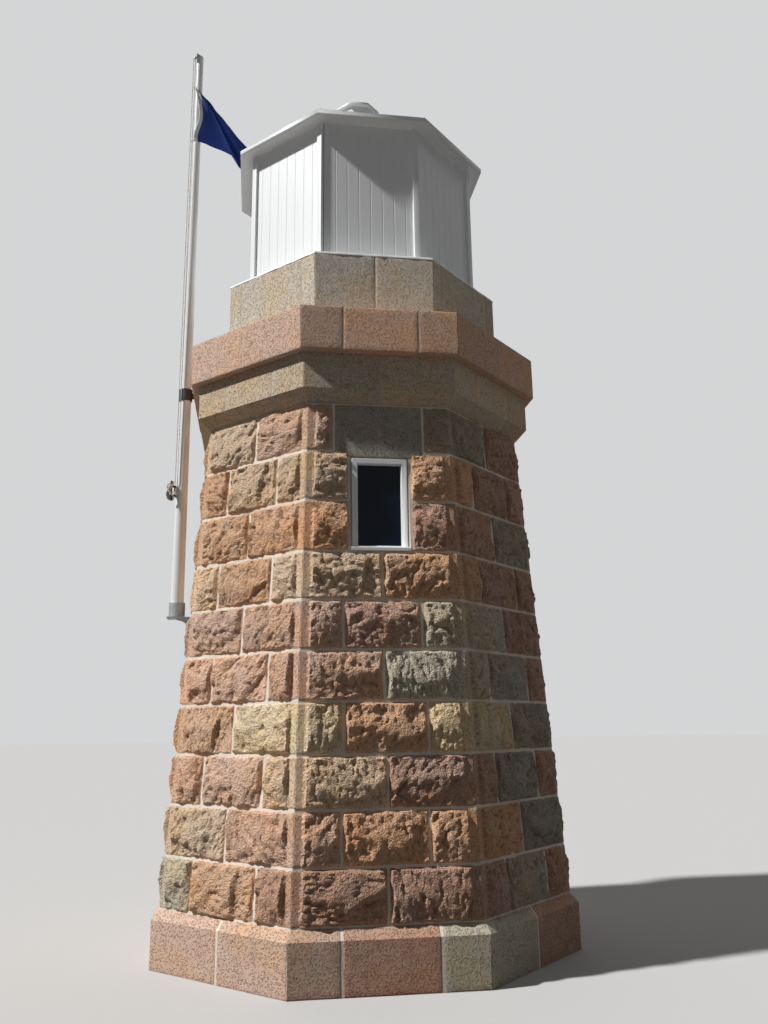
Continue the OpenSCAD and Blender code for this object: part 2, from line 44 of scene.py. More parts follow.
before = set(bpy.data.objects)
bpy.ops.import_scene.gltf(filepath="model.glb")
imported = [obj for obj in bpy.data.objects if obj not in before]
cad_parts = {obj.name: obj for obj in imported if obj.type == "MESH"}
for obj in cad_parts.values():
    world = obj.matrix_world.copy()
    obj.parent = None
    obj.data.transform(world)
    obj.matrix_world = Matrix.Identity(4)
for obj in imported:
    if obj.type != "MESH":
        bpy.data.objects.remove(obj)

FACES = 8
FACE_TURN = math.tau / FACES
HALF_TURN = FACE_TURN / 2
FRONT, FRONT_RIGHT, RIGHT, BACK_RIGHT, BACK, BACK_LEFT, LEFT, FRONT_LEFT = range(FACES)
TOUCH = 0.0001
LOWER_COURSES = 7


def corners_of(node):
    """The corners of a CAD node, as rows of x, y and z."""
    return np.array([vertex.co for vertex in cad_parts[node].data.vertices])


def half_width(node, top):
    """Half the width of an eight-sided CAD node across two faces, at its top or at its foot."""
    corners = corners_of(node)
    level = corners[:, 2].max() if top else corners[:, 2].min()
    return float(corners[np.abs(corners[:, 2] - level) < TOUCH, 1].max())


def low_z(node):
    """Height of a CAD node's underside."""
    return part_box(node)[0].z


def high_z(node):
    """Height of a CAD node's top."""
    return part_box(node)[1].z


PLINTH_OUT = half_width("plinth", False)
FOOT_OUT = half_width("plinth", True)
HEAD_OUT = half_width("cornice", False)
CORNICE_OUT = half_width("cornice", True)
BAND_OUT = half_width("parapet_band", True)
BASE_OUT = half_width("lantern_base", True)
ROOM_OUT = half_width("ground_floor", True)
LANTERN_ROOM_OUT = half_width("lantern_floor", True)
FOOT_Z, HEAD_Z = high_z("plinth"), low_z("cornice")
WINDOW_Z, WINDOW_TOP_Z = low_z("window_frame"), low_z("window_lintel")
WINDOW_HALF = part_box("window_frame")[1].x
WINDOW_LINTEL_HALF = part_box("window_lintel")[1].x
DOOR_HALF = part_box("door_threshold")[1].x
DOOR_TOP_Z = high_z("door_frame")
BEDS = [
    *np.linspace(FOOT_Z, WINDOW_Z, LOWER_COURSES + 1),
    (WINDOW_Z + WINDOW_TOP_Z) / 2,
    WINDOW_TOP_Z,
    HEAD_Z,
]
COURSES = len(BEDS) - 1
LINTEL_COURSE = COURSES - 1
DOOR_COURSES = round((DOOR_TOP_Z - FOOT_Z) / (BEDS[1] - BEDS[0]))


def wall_out(z):
    """Distance of the shaft's smooth margins from the axis, at a height."""
    return FOOT_OUT - (z - FOOT_Z) / (HEAD_Z - FOOT_Z) * (FOOT_OUT - HEAD_OUT)


def size_property(label, text, default):
    """A length in metres."""
    return FloatProperty(name=label, description=text, default=default, subtype="DISTANCE", unit="LENGTH")


def angle_property(label, text, degrees):
    """An angle, written in degrees."""
    return FloatProperty(name=label, description=text, default=math.radians(degrees), subtype="ANGLE")


def number_property(label, text, default, low=0.0, high=100.0):
    """A number without a unit."""
    return FloatProperty(name=label, description=text, default=default, min=low, max=high)


def colour_property(label, text, default):
    """A colour, written as the linear values that it renders with."""
    return FloatVectorProperty(name=label, description=text, default=default, subtype="COLOR", min=0, max=1)


class StoneworkSettings(bpy.types.PropertyGroup):
    """Sizes and colours of the stones"""

    rock_out: size_property("Rock face", "How far the rough faces stand out from their margins", 0.042)
    corner_margin: size_property("Margin", "Width of the smooth strip on each side of a corner", 0.055)
    joint: size_property("Joint", "Width of the mortar joints", 0.0165)
    fine_joint: size_property("Fine joint", "Width of the joints above the shaft", 0.006)
    joint_back: size_property("Joint depth", "How far the mortar lies back from the stones", 0.004)
    grain: size_property("Grain", "Spacing of the points that shape a rough face", 0.0095)
    seed: IntProperty(name="Seed", description="Changes how the stones are broken", default=7)
    pink: colour_property("Pink granite", "The commonest stone", (0.73, 0.455, 0.325))
    orange: colour_property("Orange granite", "Stone with iron stain", (0.74, 0.425, 0.24))
    brown: colour_property("Red-brown granite", "The darker stones", (0.53, 0.30, 0.21))
    tan: colour_property("Tan granite", "The yellower stones", (0.76, 0.54, 0.35))
    olive: colour_property("Grey-green granite", "The greener stones", (0.58, 0.51, 0.375))
    straw: colour_property("Straw granite", "The palest stones", (0.77, 0.63, 0.415))
    buff: colour_property("Buff stone", "Cornice", (0.64, 0.515, 0.365))
    grey: colour_property("Grey stone", "Lantern base", (0.66, 0.61, 0.505))
    rose: colour_property("Rose granite", "Parapet band", (0.73, 0.46, 0.325))
    slate: colour_property("Grey-brown stone", "Lintel", (0.36, 0.32, 0.26))
    mortar: colour_property("Mortar", "Lime mortar in the joints", (0.86, 0.775, 0.665))


class JoinerySettings(bpy.types.PropertyGroup):
    """Sizes and colours of the painted woodwork"""

    board: size_property("Board", "Width of a board on the lantern", 0.088)
    corner_width: size_property("Corner board", "Width of the board at each corner of the lantern", 0.046)
    v_joint: size_property("V joint", "Half the width of the V between two boards", 0.005)
    hip_roll: size_property("Hip roll", "Thickness of the rolls along the hips of the roof", 0.032)
    sill_out: size_property("Sill", "How far the window's sill stands out from the wall", 0.012)
    bead: size_property("Bead", "Width of the bead round the glass", 0.005)
    edge: size_property("Edge", "Wear on the edges of rails and boards", 0.003)
    paint: colour_property("Paint", "Gloss paint on the woodwork", (0.86, 0.87, 0.87))


class PoleSettings(bpy.types.PropertyGroup):
    """Sizes and colours of the flagpole and its gear"""

    rope: size_property("Rope", "Diameter of the halyard", 0.007)
    rope_lay: size_property("Rope lay", "Length of one turn of the rope's strands", 0.042)
    line_gap: size_property("Line gap", "Distance between the halyard's two lines", 0.028)
    line_out: size_property("Line distance", "Distance of the lines from the pole's axis", 0.0565)
    line_turn: angle_property("Line side", "Where the halyard runs, from the pole's front leftwards", 50)
    bar_out: size_property("Cleat bar", "Distance of the cleat's bar from the pole's axis", 0.1005)
    horn: size_property("Cleat horn", "Thickness of the cleat's bar", 0.015)
    post_gap: size_property("Cleat posts", "Distance between the cleat's two posts", 0.075)
    post: size_property("Cleat post", "Thickness of the cleat's posts", 0.018)
    paint: colour_property("Pole paint", "Finish of the pole", (0.84, 0.84, 0.83))
    steel: colour_property("Galvanised steel", "Bracket, collar and truck", (0.36, 0.38, 0.39))
    iron: colour_property("Dark metal", "Clamp and cleat", (0.055, 0.050, 0.048))
    hemp: colour_property("Rope", "Halyard", (0.80, 0.78, 0.74))
    nylon: colour_property("Clips", "Snap clips of the flag", (0.80, 0.81, 0.80))


class FlagSettings(bpy.types.PropertyGroup):
    """Size and colour of the flag"""

    width: size_property("Width", "Flat width of the flag, from the halyard to its fly", 0.90)
    height: size_property("Height", "Flat height of the flag, along the halyard", 0.60)
    hoist: size_property("Hoist", "Distance between its two clips on the halyard", 0.54)
    clip: size_property("Clip", "Distance of its corners from the halyard", 0.012)
    droop: angle_property("Droop", "Slope of its upper edge", 32)
    lean: angle_property("Lean", "Slope of its hoist", 80)
    sag: size_property("Sag", "Sag of its upper edge", 0.05)
    band: size_property("Heading band", "Width of the white canvas along its hoist", 0.036)
    heading: angle_property("Heading", "Direction in which it trails", 44)
    gather: number_property("Gather", "Width kept by the cloth in its folds", 0.22, 0.2, 1.0)
    colour: colour_property("Cloth", "Plain blue cloth", (0.004, 0.034, 0.240))


class StageSettings(bpy.types.PropertyGroup):
    """Floor, lamps and camera"""

    floor: size_property("Floor", "Width of the floor", 240.0)
    pale: colour_property("Pale", "Colour of the floor", (0.56, 0.555, 0.545))
    backdrop: colour_property("Backdrop", "What the camera sees past the floor", (0.66, 0.665, 0.67))
    bounce: number_property("Bounce", "How much light the floor gives back", 0.115)
    key: number_property("Key", "Strength of the main lamp", 4.2)
    fill: number_property("Fill", "Strength of the light from all round", 0.085)
    behind: number_property("Behind", "Strength of the light from behind", 0.44)


class Socket:
    """A socket that takes part in sums. Each operator adds its maths node to the socket's tree."""

    def __init__(self, tree, socket):
        self.tree = tree
        self.socket = socket

    def _sum(self, operation, first, second):
        return self.tree.add("ShaderNodeMath", {"operation": operation}, {0: first, 1: second})

    def __add__(self, other):
        return self._sum("ADD", self, other)

    def __radd__(self, other):
        return self._sum("ADD", other, self)

    def __sub__(self, other):
        return self._sum("SUBTRACT", self, other)

    def __rsub__(self, other):
        return self._sum("SUBTRACT", other, self)

    def __mul__(self, other):
        return self._sum("MULTIPLY", self, other)

    def __rmul__(self, other):
        return self._sum("MULTIPLY", other, self)

    def __truediv__(self, other):
        return self._sum("DIVIDE", self, other)


class Tree:
    """Adds nodes to a shader or geometry tree."""

    def __init__(self, tree):
        self.tree = tree

    def add(self, kind, settings=None, sockets=None, out=0):
        """One node: its settings first, then its sockets' values or links. Returns one of its outputs."""
        node = self.tree.nodes.new(kind)
        for name, value in (settings or {}).items():
            setattr(node, name, value)
        for key, value in (sockets or {}).items():
            if isinstance(value, Socket):
                self.tree.links.new(value.socket, node.inputs[key])
            else:
                node.inputs[key].default_value = value
        return Socket(self, node.outputs[out]) if node.outputs else node


class Finish(Tree):
    """The node tree of one material, with the few textures that the finishes share."""

    def __init__(self, name):
        self.material = bpy.data.materials.new(name)
        self.material.use_nodes = True
        self.material.node_tree.nodes.clear()
        super().__init__(self.material.node_tree)
        self.place = self.add("ShaderNodeTexCoord", out=3)

    def attribute(self, name, out=0):
        """A value stored in the mesh: output 0 is its colour, 1 its vector and 2 its number."""
        return self.add("ShaderNodeAttribute", {"attribute_name": name}, out=out)

    def moved(self, vector):
        """Object coordinates with a vector added."""
        return self.add("ShaderNodeVectorMath", {"operation": "ADD"}, {0: self.place, 1: vector})

    def stretched(self, place, scale):
        """Coordinates scaled by three numbers."""
        return self.add("ShaderNodeVectorMath", {"operation": "MULTIPLY"}, {0: place, 1: scale})

    def noise(self, place, scale, detail=2.0, roughness=0.5):
        """Cloudy noise, from 0 to 1."""
        sockets = {"Vector": place, "Scale": scale, "Detail": detail, "Roughness": roughness}
        return self.add("ShaderNodeTexNoise", {}, sockets)

    def cells(self, place, scale, out=0):
        """Cells: output 0 is the distance to a cell's middle and 1 its random colour."""
        return self.add("ShaderNodeTexVoronoi", {}, {"Vector": place, "Scale": scale}, out=out)

    def ramp(self, value, low, high):
        """Turns a value into 0 below low and 1 above high, with a smooth step between them."""
        sockets = {"Value": value, "From Min": low, "From Max": high}
        return self.add("ShaderNodeMapRange", {"interpolation_type": "SMOOTHSTEP"}, sockets)

    def mix(self, first, second, share, blend="MIX"):
        """One colour mixed into another by a share."""
        first, second = (c if isinstance(c, Socket) else (*c, 1) for c in (first, second))
        settings = {"data_type": "RGBA", "blend_type": blend}
        return self.add("ShaderNodeMix", settings, {0: share, 6: first, 7: second}, out=2)

    def bump(self, height, distance):
        """A normal for the shader, from a height and the distance that a height of 1 stands for."""
        return self.add("ShaderNodeBump", {}, {"Height": height, "Distance": distance})

    def shade(self, **sockets):
        """Ends the tree in a Principled shader and returns the material."""
        named = {name.replace("_", " "): value for name, value in sockets.items()}
        shader = self.add("ShaderNodeBsdfPrincipled", {}, named)
        self.add("ShaderNodeOutputMaterial", {}, {"Surface": shader})
        return self.material


def stone_finish(name):
    """Granite: tinted stone by stone, blotched and speckled, rough where broken and pitted where dressed,
    with painted shade in the hollows of the rock faces and in the pits of the dressed faces.
    """
    f = Finish(name)
    tint = f.attribute("tint")
    broken = f.attribute("broken", out=2)
    hollow = f.attribute("hollow", out=2)
    place = f.moved(f.attribute("shift", out=1))
    blotch = f.ramp(f.noise(place, 7.0, 4.0, 0.6), 0.38, 0.68)
    stain = f.ramp(f.noise(place, 19.0, 3.0, 0.65), 0.52, 0.72)
    drift = f.ramp(f.noise(place, 3.1, 2.0), 0.42, 0.62)
    colour = f.mix(tint, f.mix(tint, (1.04, 0.95, 0.80), 1.0, "MULTIPLY"), drift)
    colour = f.mix(colour, (0.68, 0.52, 0.38), blotch * 0.25)
    colour = f.mix(colour, f.mix(tint, (0.58, 0.46, 0.38), 1.0, "MULTIPLY"), stain * 0.50)
    grains = f.cells(place, 250.0, out=1)
    speck = f.ramp(f.noise(grains, 3.0, 0.0), 0.56, 0.66)
    dark_speck = f.ramp(f.noise(grains, 5.0, 0.0), 0.60, 0.70)
    colour = f.mix(colour, (0.92, 0.80, 0.70), speck * 0.38)
    colour = f.mix(colour, (0.07, 0.055, 0.05), dark_speck * 0.38)
    coarse = f.noise(place, 52.0, 6.0, 0.72)
    chips = f.cells(place, 80.0)
    fine = f.noise(place, 230.0, 3.0, 0.6)
    crystals = f.cells(place, 135.0)
    punched = f.ramp(f.cells(place, 62.0) + f.cells(place, 105.0) * 0.55 + coarse * 0.35, 0.70, 0.88)
    # Painted shade: the pits of the dressed faces are darkened in the colour, in place of the shadows in
    # them.
    pit_shade = (1.0 - punched) * (1.0 - broken)
    # Painted shade: the colour darkens in the hollows of the rock faces and in the pits of the dressed faces.
    colour = f.mix(colour, (0.13, 0.09, 0.065), hollow * 0.45 + pit_shade * 0.24)
    rugged = (coarse * 2.2 + chips * 1.3 + crystals * 0.6) * broken
    dressed = (punched + crystals * 0.22 + coarse * 0.35) * (1.0 - broken)
    normal = f.bump(rugged + dressed + fine * 0.25, 0.0065)
    roughness = 0.78 + f.noise(place, 90.0) * 0.2
    return f.shade(Base_Color=colour, Roughness=roughness, Normal=normal)


def mortar_finish(name, colour):
    """Lime mortar with sand in it."""
    f = Finish(name)
    patch = f.ramp(f.noise(f.place, 5.0, 4.0), 0.35, 0.70)
    shade = f.mix(colour, f.mix(colour, (0.56, 0.52, 0.48), 1.0, "MULTIPLY"), patch * 0.3)
    sand = f.noise(f.place, 380.0, 2.0, 0.7)
    shade = f.mix(shade, f.mix(colour, (0.80, 0.80, 0.80), 1.0, "MULTIPLY"), f.ramp(sand, 0.55, 0.7) * 0.3)
    height = f.noise(f.place, 70.0, 4.0, 0.65) + sand * 0.35
    return f.shade(Base_Color=shade, Roughness=0.95, Normal=f.bump(height, 0.003))


HANGING_RUNS = (9.0, 9.0, 0.8)


def paint_finish(name, colour, streaks=HANGING_RUNS, dirt=0.10, gloss=0.34):
    """Gloss paint on wood or metal: faint runs and brush marks, and a little weather in them."""
    f = Finish(name)
    runs = f.noise(f.stretched(f.place, streaks), 4.0, 4.0, 0.6)
    weather = f.ramp(runs, 0.50, 0.78)
    shade = f.mix(colour, (0.62, 0.60, 0.55), weather * dirt * 2.0)
    brush = f.noise(f.stretched(f.place, (260.0, 260.0, 6.0)), 1.0, 2.0)
    peel = f.noise(f.place, 160.0, 2.0)
    roughness = gloss + weather * 0.22 + peel * 0.08
    return f.shade(Base_Color=shade, Roughness=roughness, Normal=f.bump(brush * 0.5 + peel * 0.3, 0.0006))


def metal_finish(name, colour, roughness, spangle):
    """Bare or dull metal: patches of weathering over fine crystals."""
    f = Finish(name)
    cells = f.cells(f.place, 130.0, out=1)
    crystal = f.noise(cells, 4.0, 0.0)
    weather = f.ramp(f.noise(f.place, 26.0, 4.0, 0.65), 0.40, 0.72)
    dark = tuple(c * 0.55 for c in colour)
    shade = f.mix(colour, dark, weather * 0.6)
    shade = f.mix(shade, (0.62, 0.64, 0.66), crystal * spangle)
    rough = roughness + weather * 0.25 + crystal * 0.08
    height = f.noise(f.place, 210.0, 3.0) + weather * 0.4
    normal = f.bump(height, 0.0009)
    return f.shade(Base_Color=shade, Roughness=rough, Normal=normal, Metallic=0.75 * (1.0 - weather * 0.5))


def glass_finish(name):
    """Window glass in front of an unlit room: an opaque surface whose dark blue colour is the room's painted
    shade.
    """
    f = Finish(name)
    film = f.noise(f.place, 9.0, 3.0)
    # Painted shade: these dark blues stand in for the unlit room behind the glass.
    shade = f.mix((0.003, 0.009, 0.024), (0.004, 0.011, 0.028), film)
    rough = 0.05 + f.ramp(film, 0.55, 0.8) * 0.08
    return f.shade(Base_Color=shade, Roughness=rough, Specular_IOR_Level=0.10)


def rope_finish(name, colour):
    """Weathered laid rope: dirt in the lay and bleached high spots."""
    f = Finish(name)
    fibre = f.noise(f.stretched(f.place, (1.0, 1.0, 0.35)), 900.0, 2.0)
    dirt = f.ramp(f.noise(f.place, 48.0, 3.0), 0.50, 0.66)
    shade = f.mix(colour, (0.26, 0.19, 0.13), dirt * 0.6)
    shade = f.mix(shade, (0.75, 0.73, 0.69), f.ramp(fibre, 0.55, 0.75) * 0.35)
    return f.shade(Base_Color=shade, Roughness=0.9, Normal=f.bump(fibre, 0.0006))


def cloth_finish(name, colour, band):
    """Woven bunting: plain weave, faded a little, with a white canvas band along the hoist."""
    f = Finish(name)
    cut = f.attribute("cut", out=1)
    threads = {"Vector": cut, "Scale": 160.0, "Distortion": 0.0}
    across, along = (f.add("ShaderNodeTexWave", {"bands_direction": axis}, threads) for axis in ("X", "Y"))
    weave = across * along
    worn = f.ramp(f.noise(f.stretched(cut, (2.0, 2.0, 2.0)), 3.0, 3.0), 0.45, 0.75)
    shade = f.mix(colour, tuple(c * 1.6 + 0.002 for c in colour), worn * 0.5)
    shade = f.mix(shade, (0.006, 0.055, 0.30), weave * 0.25)
    u = f.add("ShaderNodeSeparateXYZ", {}, {"Vector": cut})
    canvas = 1.0 - f.ramp(u, band - 0.001, band + 0.001)
    shade = f.mix(shade, (0.80, 0.79, 0.76), canvas)
    return f.shade(Base_Color=shade, Roughness=0.78, Sheen_Weight=0.06, Normal=f.bump(weave, 0.0004))


def timber_finish(name):
    """Bare softwood floor boards."""
    f = Finish(name)
    rings = f.noise(f.stretched(f.place, (30.0, 2.0, 30.0)), 3.0, 5.0, 0.6)
    shade = f.mix((0.33, 0.21, 0.12), (0.20, 0.12, 0.065), f.ramp(rings, 0.35, 0.7))
    return f.shade(Base_Color=shade, Roughness=0.8, Normal=f.bump(rings, 0.001))


def plain_stone_finish(name, colour):
    """Worn flags or a threshold: fine grained, scuffed smooth."""
    f = Finish(name)
    cloud = f.noise(f.place, 6.0, 5.0, 0.6)
    grain = f.noise(f.place, 320.0, 2.0)
    shade = f.mix(colour, tuple(c * 0.6 for c in colour), f.ramp(cloud, 0.40, 0.75) * 0.6)
    shade = f.mix(shade, (0.20, 0.18, 0.16), f.ramp(grain, 0.58, 0.7) * 0.4)
    height = f.noise(f.place, 60.0, 4.0) + grain * 0.4
    return f.shade(Base_Color=shade, Roughness=0.82, Normal=f.bump(height, 0.002))


def finish(name, make, *values):
    """A material by its name, made on first use."""
    return bpy.data.materials.get(name) or make(name, *values)


def piece_of(mesh, materials, sharp=35.0):
    """Makes a mesh an object with its materials, smooth inside its sharp edges."""
    for material in materials:
        mesh.materials.append(material)
    mesh.shade_smooth()
    mesh.set_sharp_from_angle(angle=math.radians(sharp))
    piece = bpy.data.objects.new(mesh.name, mesh)
    bpy.context.collection.objects.link(piece)
    return piece


def settle(piece, slot, *nodes):
    """Fastens a finished piece to the building, in place of CAD nodes."""
    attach(piece, "root")
    if nodes:
        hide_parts(*nodes)
    return piece


class Surface:
    """Gathers the points and faces of one piece of stone or mortar, with its materials and stored values."""

    STORED = {
        "tint": ("FLOAT_COLOR", "color", 4),
        "shift": ("FLOAT_VECTOR", "vector", 3),
        "broken": ("FLOAT", "value", 1),
        "hollow": ("FLOAT", "value", 1),
    }

    def __init__(self, name, materials):
        self.name = name
        self.materials = materials
        self.points = []
        self.faces = []
        self.slots = []
        self.stored = {name: [] for name in self.STORED}
        self.count = 0

    def add(self, rows, slot=0, tint=(0.5, 0.5, 0.5), shift=(0, 0, 0), broken=0.0, hollow=0.0):
        """Adds a closed length whose rows of points run round its section. Its two ends are closed too.

        The stored values are one for each point, or one for them all."""
        index = np.arange(rows.size // 3).reshape(rows.shape[:2]) + self.count
        above = np.roll(index, -1, axis=0)
        quads = np.stack([index[:, :-1], index[:, 1:], above[:, 1:], above[:, :-1]], axis=-1)
        faces = quads.reshape(-1, 4).tolist() + [index[:, 0].tolist(), index[::-1, -1].tolist()]
        self.points.append(rows.reshape(-1, 3))
        self.faces += faces
        self.slots += [slot] * len(faces)
        self.count += index.size
        given = {"tint": (*tint, 1.0), "shift": shift, "broken": np.ravel(broken), "hollow": np.ravel(hollow)}
        for name, value in given.items():
            size = self.STORED[name][2]
            shape = (index.size, size) if size > 1 else (index.size,)
            self.stored[name].append(np.broadcast_to(value, shape))

    def build(self):
        """The finished piece."""
        mesh = bpy.data.meshes.new(self.name)
        mesh.from_pydata(np.concatenate(self.points).tolist(), [], self.faces)
        mesh.polygons.foreach_set("material_index", self.slots)
        for name, (kind, field, _) in self.STORED.items():
            values = np.concatenate(self.stored[name]).astype(np.float32)
            mesh.attributes.new(name, kind, "POINT").data.foreach_set(field, values.ravel())
        return piece_of(mesh, self.materials, 28.0)


def on_face(face, along, out, z):
    """Points given along a face, out from the axis and up, as points of the frame."""
    turn = face * FACE_TURN
    x = along * math.cos(turn) + out * math.sin(turn)
    y = along * math.sin(turn) - out * math.cos(turn)
    return np.stack(np.broadcast_arrays(x, y, z), axis=-1)


def end_of(end, side, out):
    """Where a stone ends along its face: at a joint, or at the mitre of the corner where end is None."""
    return side * out * math.tan(HALF_TURN) if end is None else np.full_like(out, end)


def prism(surface, face, section, left, right, **more):
    """A closed length of wall with a plain section of (out, z) points, from its foot outwards and up."""
    out, z = np.array(section, float).T
    ends = [on_face(face, end_of(end, side, out), out, z) for end, side in ((left, -1), (right, 1))]
    surface.add(np.stack(ends, axis=1), **more)


def wander(rng, x, y, spacing):
    """Smooth random heights from -1 to 1, which change over about one spacing."""
    turn = rng.uniform(0, math.tau)
    gx = (x * math.cos(turn) - y * math.sin(turn)) / spacing
    gy = (x * math.sin(turn) + y * math.cos(turn)) / spacing
    gx, gy = gx - gx.min(), gy - gy.min()
    lattice = rng.uniform(-1, 1, (int(gy.max()) + 2, int(gx.max()) + 2))
    i, j = np.floor(gy).astype(int), np.floor(gx).astype(int)
    u, v = gx - j, gy - i
    u, v = u * u * (3 - 2 * u), v * v * (3 - 2 * v)
    low = lattice[i, j] * (1 - u) + lattice[i, j + 1] * u
    high = lattice[i + 1, j] * (1 - u) + lattice[i + 1, j + 1] * u
    return low * (1 - v) + high * v


BESIDE_END = 0.004


def spaced(length, step):
    """Places along a length, about a step apart and closer beside each end."""
    middle = np.linspace(2.5 * BESIDE_END, length - 2.5 * BESIDE_END, max(int(length / step), 2))
    return np.array([0, BESIDE_END, *middle, length - BESIDE_END, length])


def blurred(grid, times):
    """A grid with each value averaged with its neighbours."""
    for _ in range(times):
        wide = np.pad(grid, 1, mode="edge")
        grid = (wide[1:-1, :-2] + wide[1:-1, 2:] + wide[:-2, 1:-1] + wide[2:, 1:-1] + grid * 2) / 6
    return grid


def scoops(rng, x, y, spacing, depth, tilt):
    """Heights of a surface broken into shallow scoops, drawn out one way, which meet in sharp ridges."""
    turn, stretch = rng.uniform(0, math.pi), rng.uniform(1.1, 1.6)
    bend = [wander(rng, x, y, spacing * 1.2) * spacing * 0.35 for _ in range(2)]
    along = (x * math.cos(turn) + y * math.sin(turn)) / stretch + bend[0]
    across = (y * math.cos(turn) - x * math.sin(turn)) * stretch + bend[1]
    low, high = (along.min(), across.min()), (along.max(), across.max())
    count = int((high[0] - low[0] + spacing) * (high[1] - low[1] + spacing) / spacing**2) + 3
    middles = rng.uniform(low, high, (count, 2))
    levels = rng.uniform(-0.5, 0.5, count) * depth
    slopes = rng.normal(0, tilt, (count, 2))
    away_x, away_y = along[..., None] - middles[:, 0], across[..., None] - middles[:, 1]
    scoop = (away_x**2 + away_y**2) * (4 * depth / spacing**2)
    heights = (scoop + levels + away_x * slopes[:, 0] + away_y * slopes[:, 1]).min(axis=-1)
    return heights - heights.mean()


RAGGED = 0.008
CUT_EDGE = 0.010
WIDE_SCOOPS = (0.125, 0.0055, 0.08)
SMALLER_SCOOPS = (0.056, 0.0034, 0.12)
SMALLEST_SCOOPS = (0.026, 0.0030, 0.24)
GRIT, GRIT_HEIGHT = 0.011, 0.0018


def broken_face(rng, x, y, size, margins, proud):
    """Height of a rock face, and where it is: cut sides, a crown of four facets that fall away from a summit,
    pieces struck off it, and scoops with lumps between them."""
    width, height = size
    left, right = margins
    sides = np.stack(
        [
            x - left + (wander(rng, x, y, 0.07) - 0.4) * RAGGED * (left < RAGGED),
            width - right - x + (wander(rng, x, y, 0.07) - 0.4) * RAGGED * (right < RAGGED),
            y + (wander(rng, x, y, 0.08) - 0.6) * RAGGED,
            height - y + (wander(rng, x, y, 0.08) - 0.6) * RAGGED,
        ]
    ).clip(0)
    slopes = np.exp(rng.uniform(math.log(1.2), math.log(4.0), 4))
    slopes[:2] = np.where(np.array(margins) > RAGGED, 3.0, slopes[:2])
    slopes[2] *= 1.6
    summit_x = rng.uniform(0.40, 0.75) * width
    summit_y = rng.uniform(0.38, 0.62) * height
    top = proud * rng.uniform(0.85, 1.05)
    crown = np.full_like(x, top)
    for across, up in ((-1, 1), (1, 1), (-1, -1), (1, -1)):
        lean_x = across * proud * rng.uniform(0.08, 0.42) / (width - summit_x if across > 0 else summit_x)
        lean_y = up * proud * rng.uniform(0.45, 0.95) / (height - summit_y if up > 0 else summit_y)
        facet = top + proud * rng.uniform(0.0, 0.15) - lean_x * (x - summit_x) - lean_y * (y - summit_y)
        crown = np.minimum(crown, facet)
    for _ in range(rng.integers(1, 3)):
        turn = rng.choice([-math.pi / 2, -math.pi / 4, 0]) + rng.uniform(-0.6, 0.6)
        reach = abs(math.cos(turn)) * width / 2 + abs(math.sin(turn)) * height / 2
        away = (x - width / 2) * math.cos(turn) + (y - height / 2) * math.sin(turn)
        steep = rng.uniform(0.5, 1.4)
        crown = np.minimum(crown, proud * 0.75 - steep * (away - reach * rng.uniform(0.3, 0.8)))
    inside = (sides.min(axis=0) / CUT_EDGE).clip(0, 1)
    rough = scoops(rng, x, y, *WIDE_SCOOPS) - scoops(rng, x, y, *SMALLER_SCOOPS)
    rough += GRIT_HEIGHT * wander(rng, x, y, GRIT) - scoops(rng, x, y, *SMALLEST_SCOOPS)
    rise = np.minimum((sides * slopes[:, None, None]).min(axis=0), np.maximum(crown, 0.16 * proud) + rough)
    soft = 0.75 * proud
    over = (rise - soft).clip(0)
    rise = np.minimum(rise, soft).clip(0) + (proud - soft) * np.tanh(over / (proud - soft))
    return rise * (inside > 0), inside


def tint_of(settings, key, kind):
    """A stone's own shade of its kind of stone."""
    rng = np.random.default_rng([settings.seed, *key])
    shade = np.array(getattr(settings, kind)) * rng.uniform(0.92, 1.20)
    warmth = rng.uniform(-0.06, 0.06)
    return (shade * (1 + warmth * np.array((1, 0.1, -1)))).clip(0, 0.9)


def worn_corner(settings, course, corner, z):
    """How far a corner is worn back, at heights z. The faces on both sides of it ask for the same stone."""
    rng = np.random.default_rng([settings.seed, 40, course, corner])
    return 0.0015 + 0.0030 * wander(rng, z, z * 0, 0.05).clip(0) + 0.002 * wander(rng, z, z * 0, 0.16).clip(0)


JITTER_EDGE = 0.006
SMOOTH_STEP = 0.03


def rows_up(section, step):
    """Rows of points up a stone's face: their (out, z), how far up it they are, and the way they face."""
    corners = np.array(section[1:-1], float)
    rows = [corners[0]]
    for start, end in zip(corners, corners[1:]):
        length = np.linalg.norm(end - start)
        rows += [start + (end - start) * (place / length) for place in spaced(length, step)[1:]]
    rows = np.array(rows)
    climb = np.concatenate([[0], np.cumsum(np.linalg.norm(np.diff(rows, axis=0), axis=1))])
    lean = np.gradient(rows, climb, axis=0)
    return rows, climb, np.stack([lean[:, 1], -lean[:, 0]], axis=1)


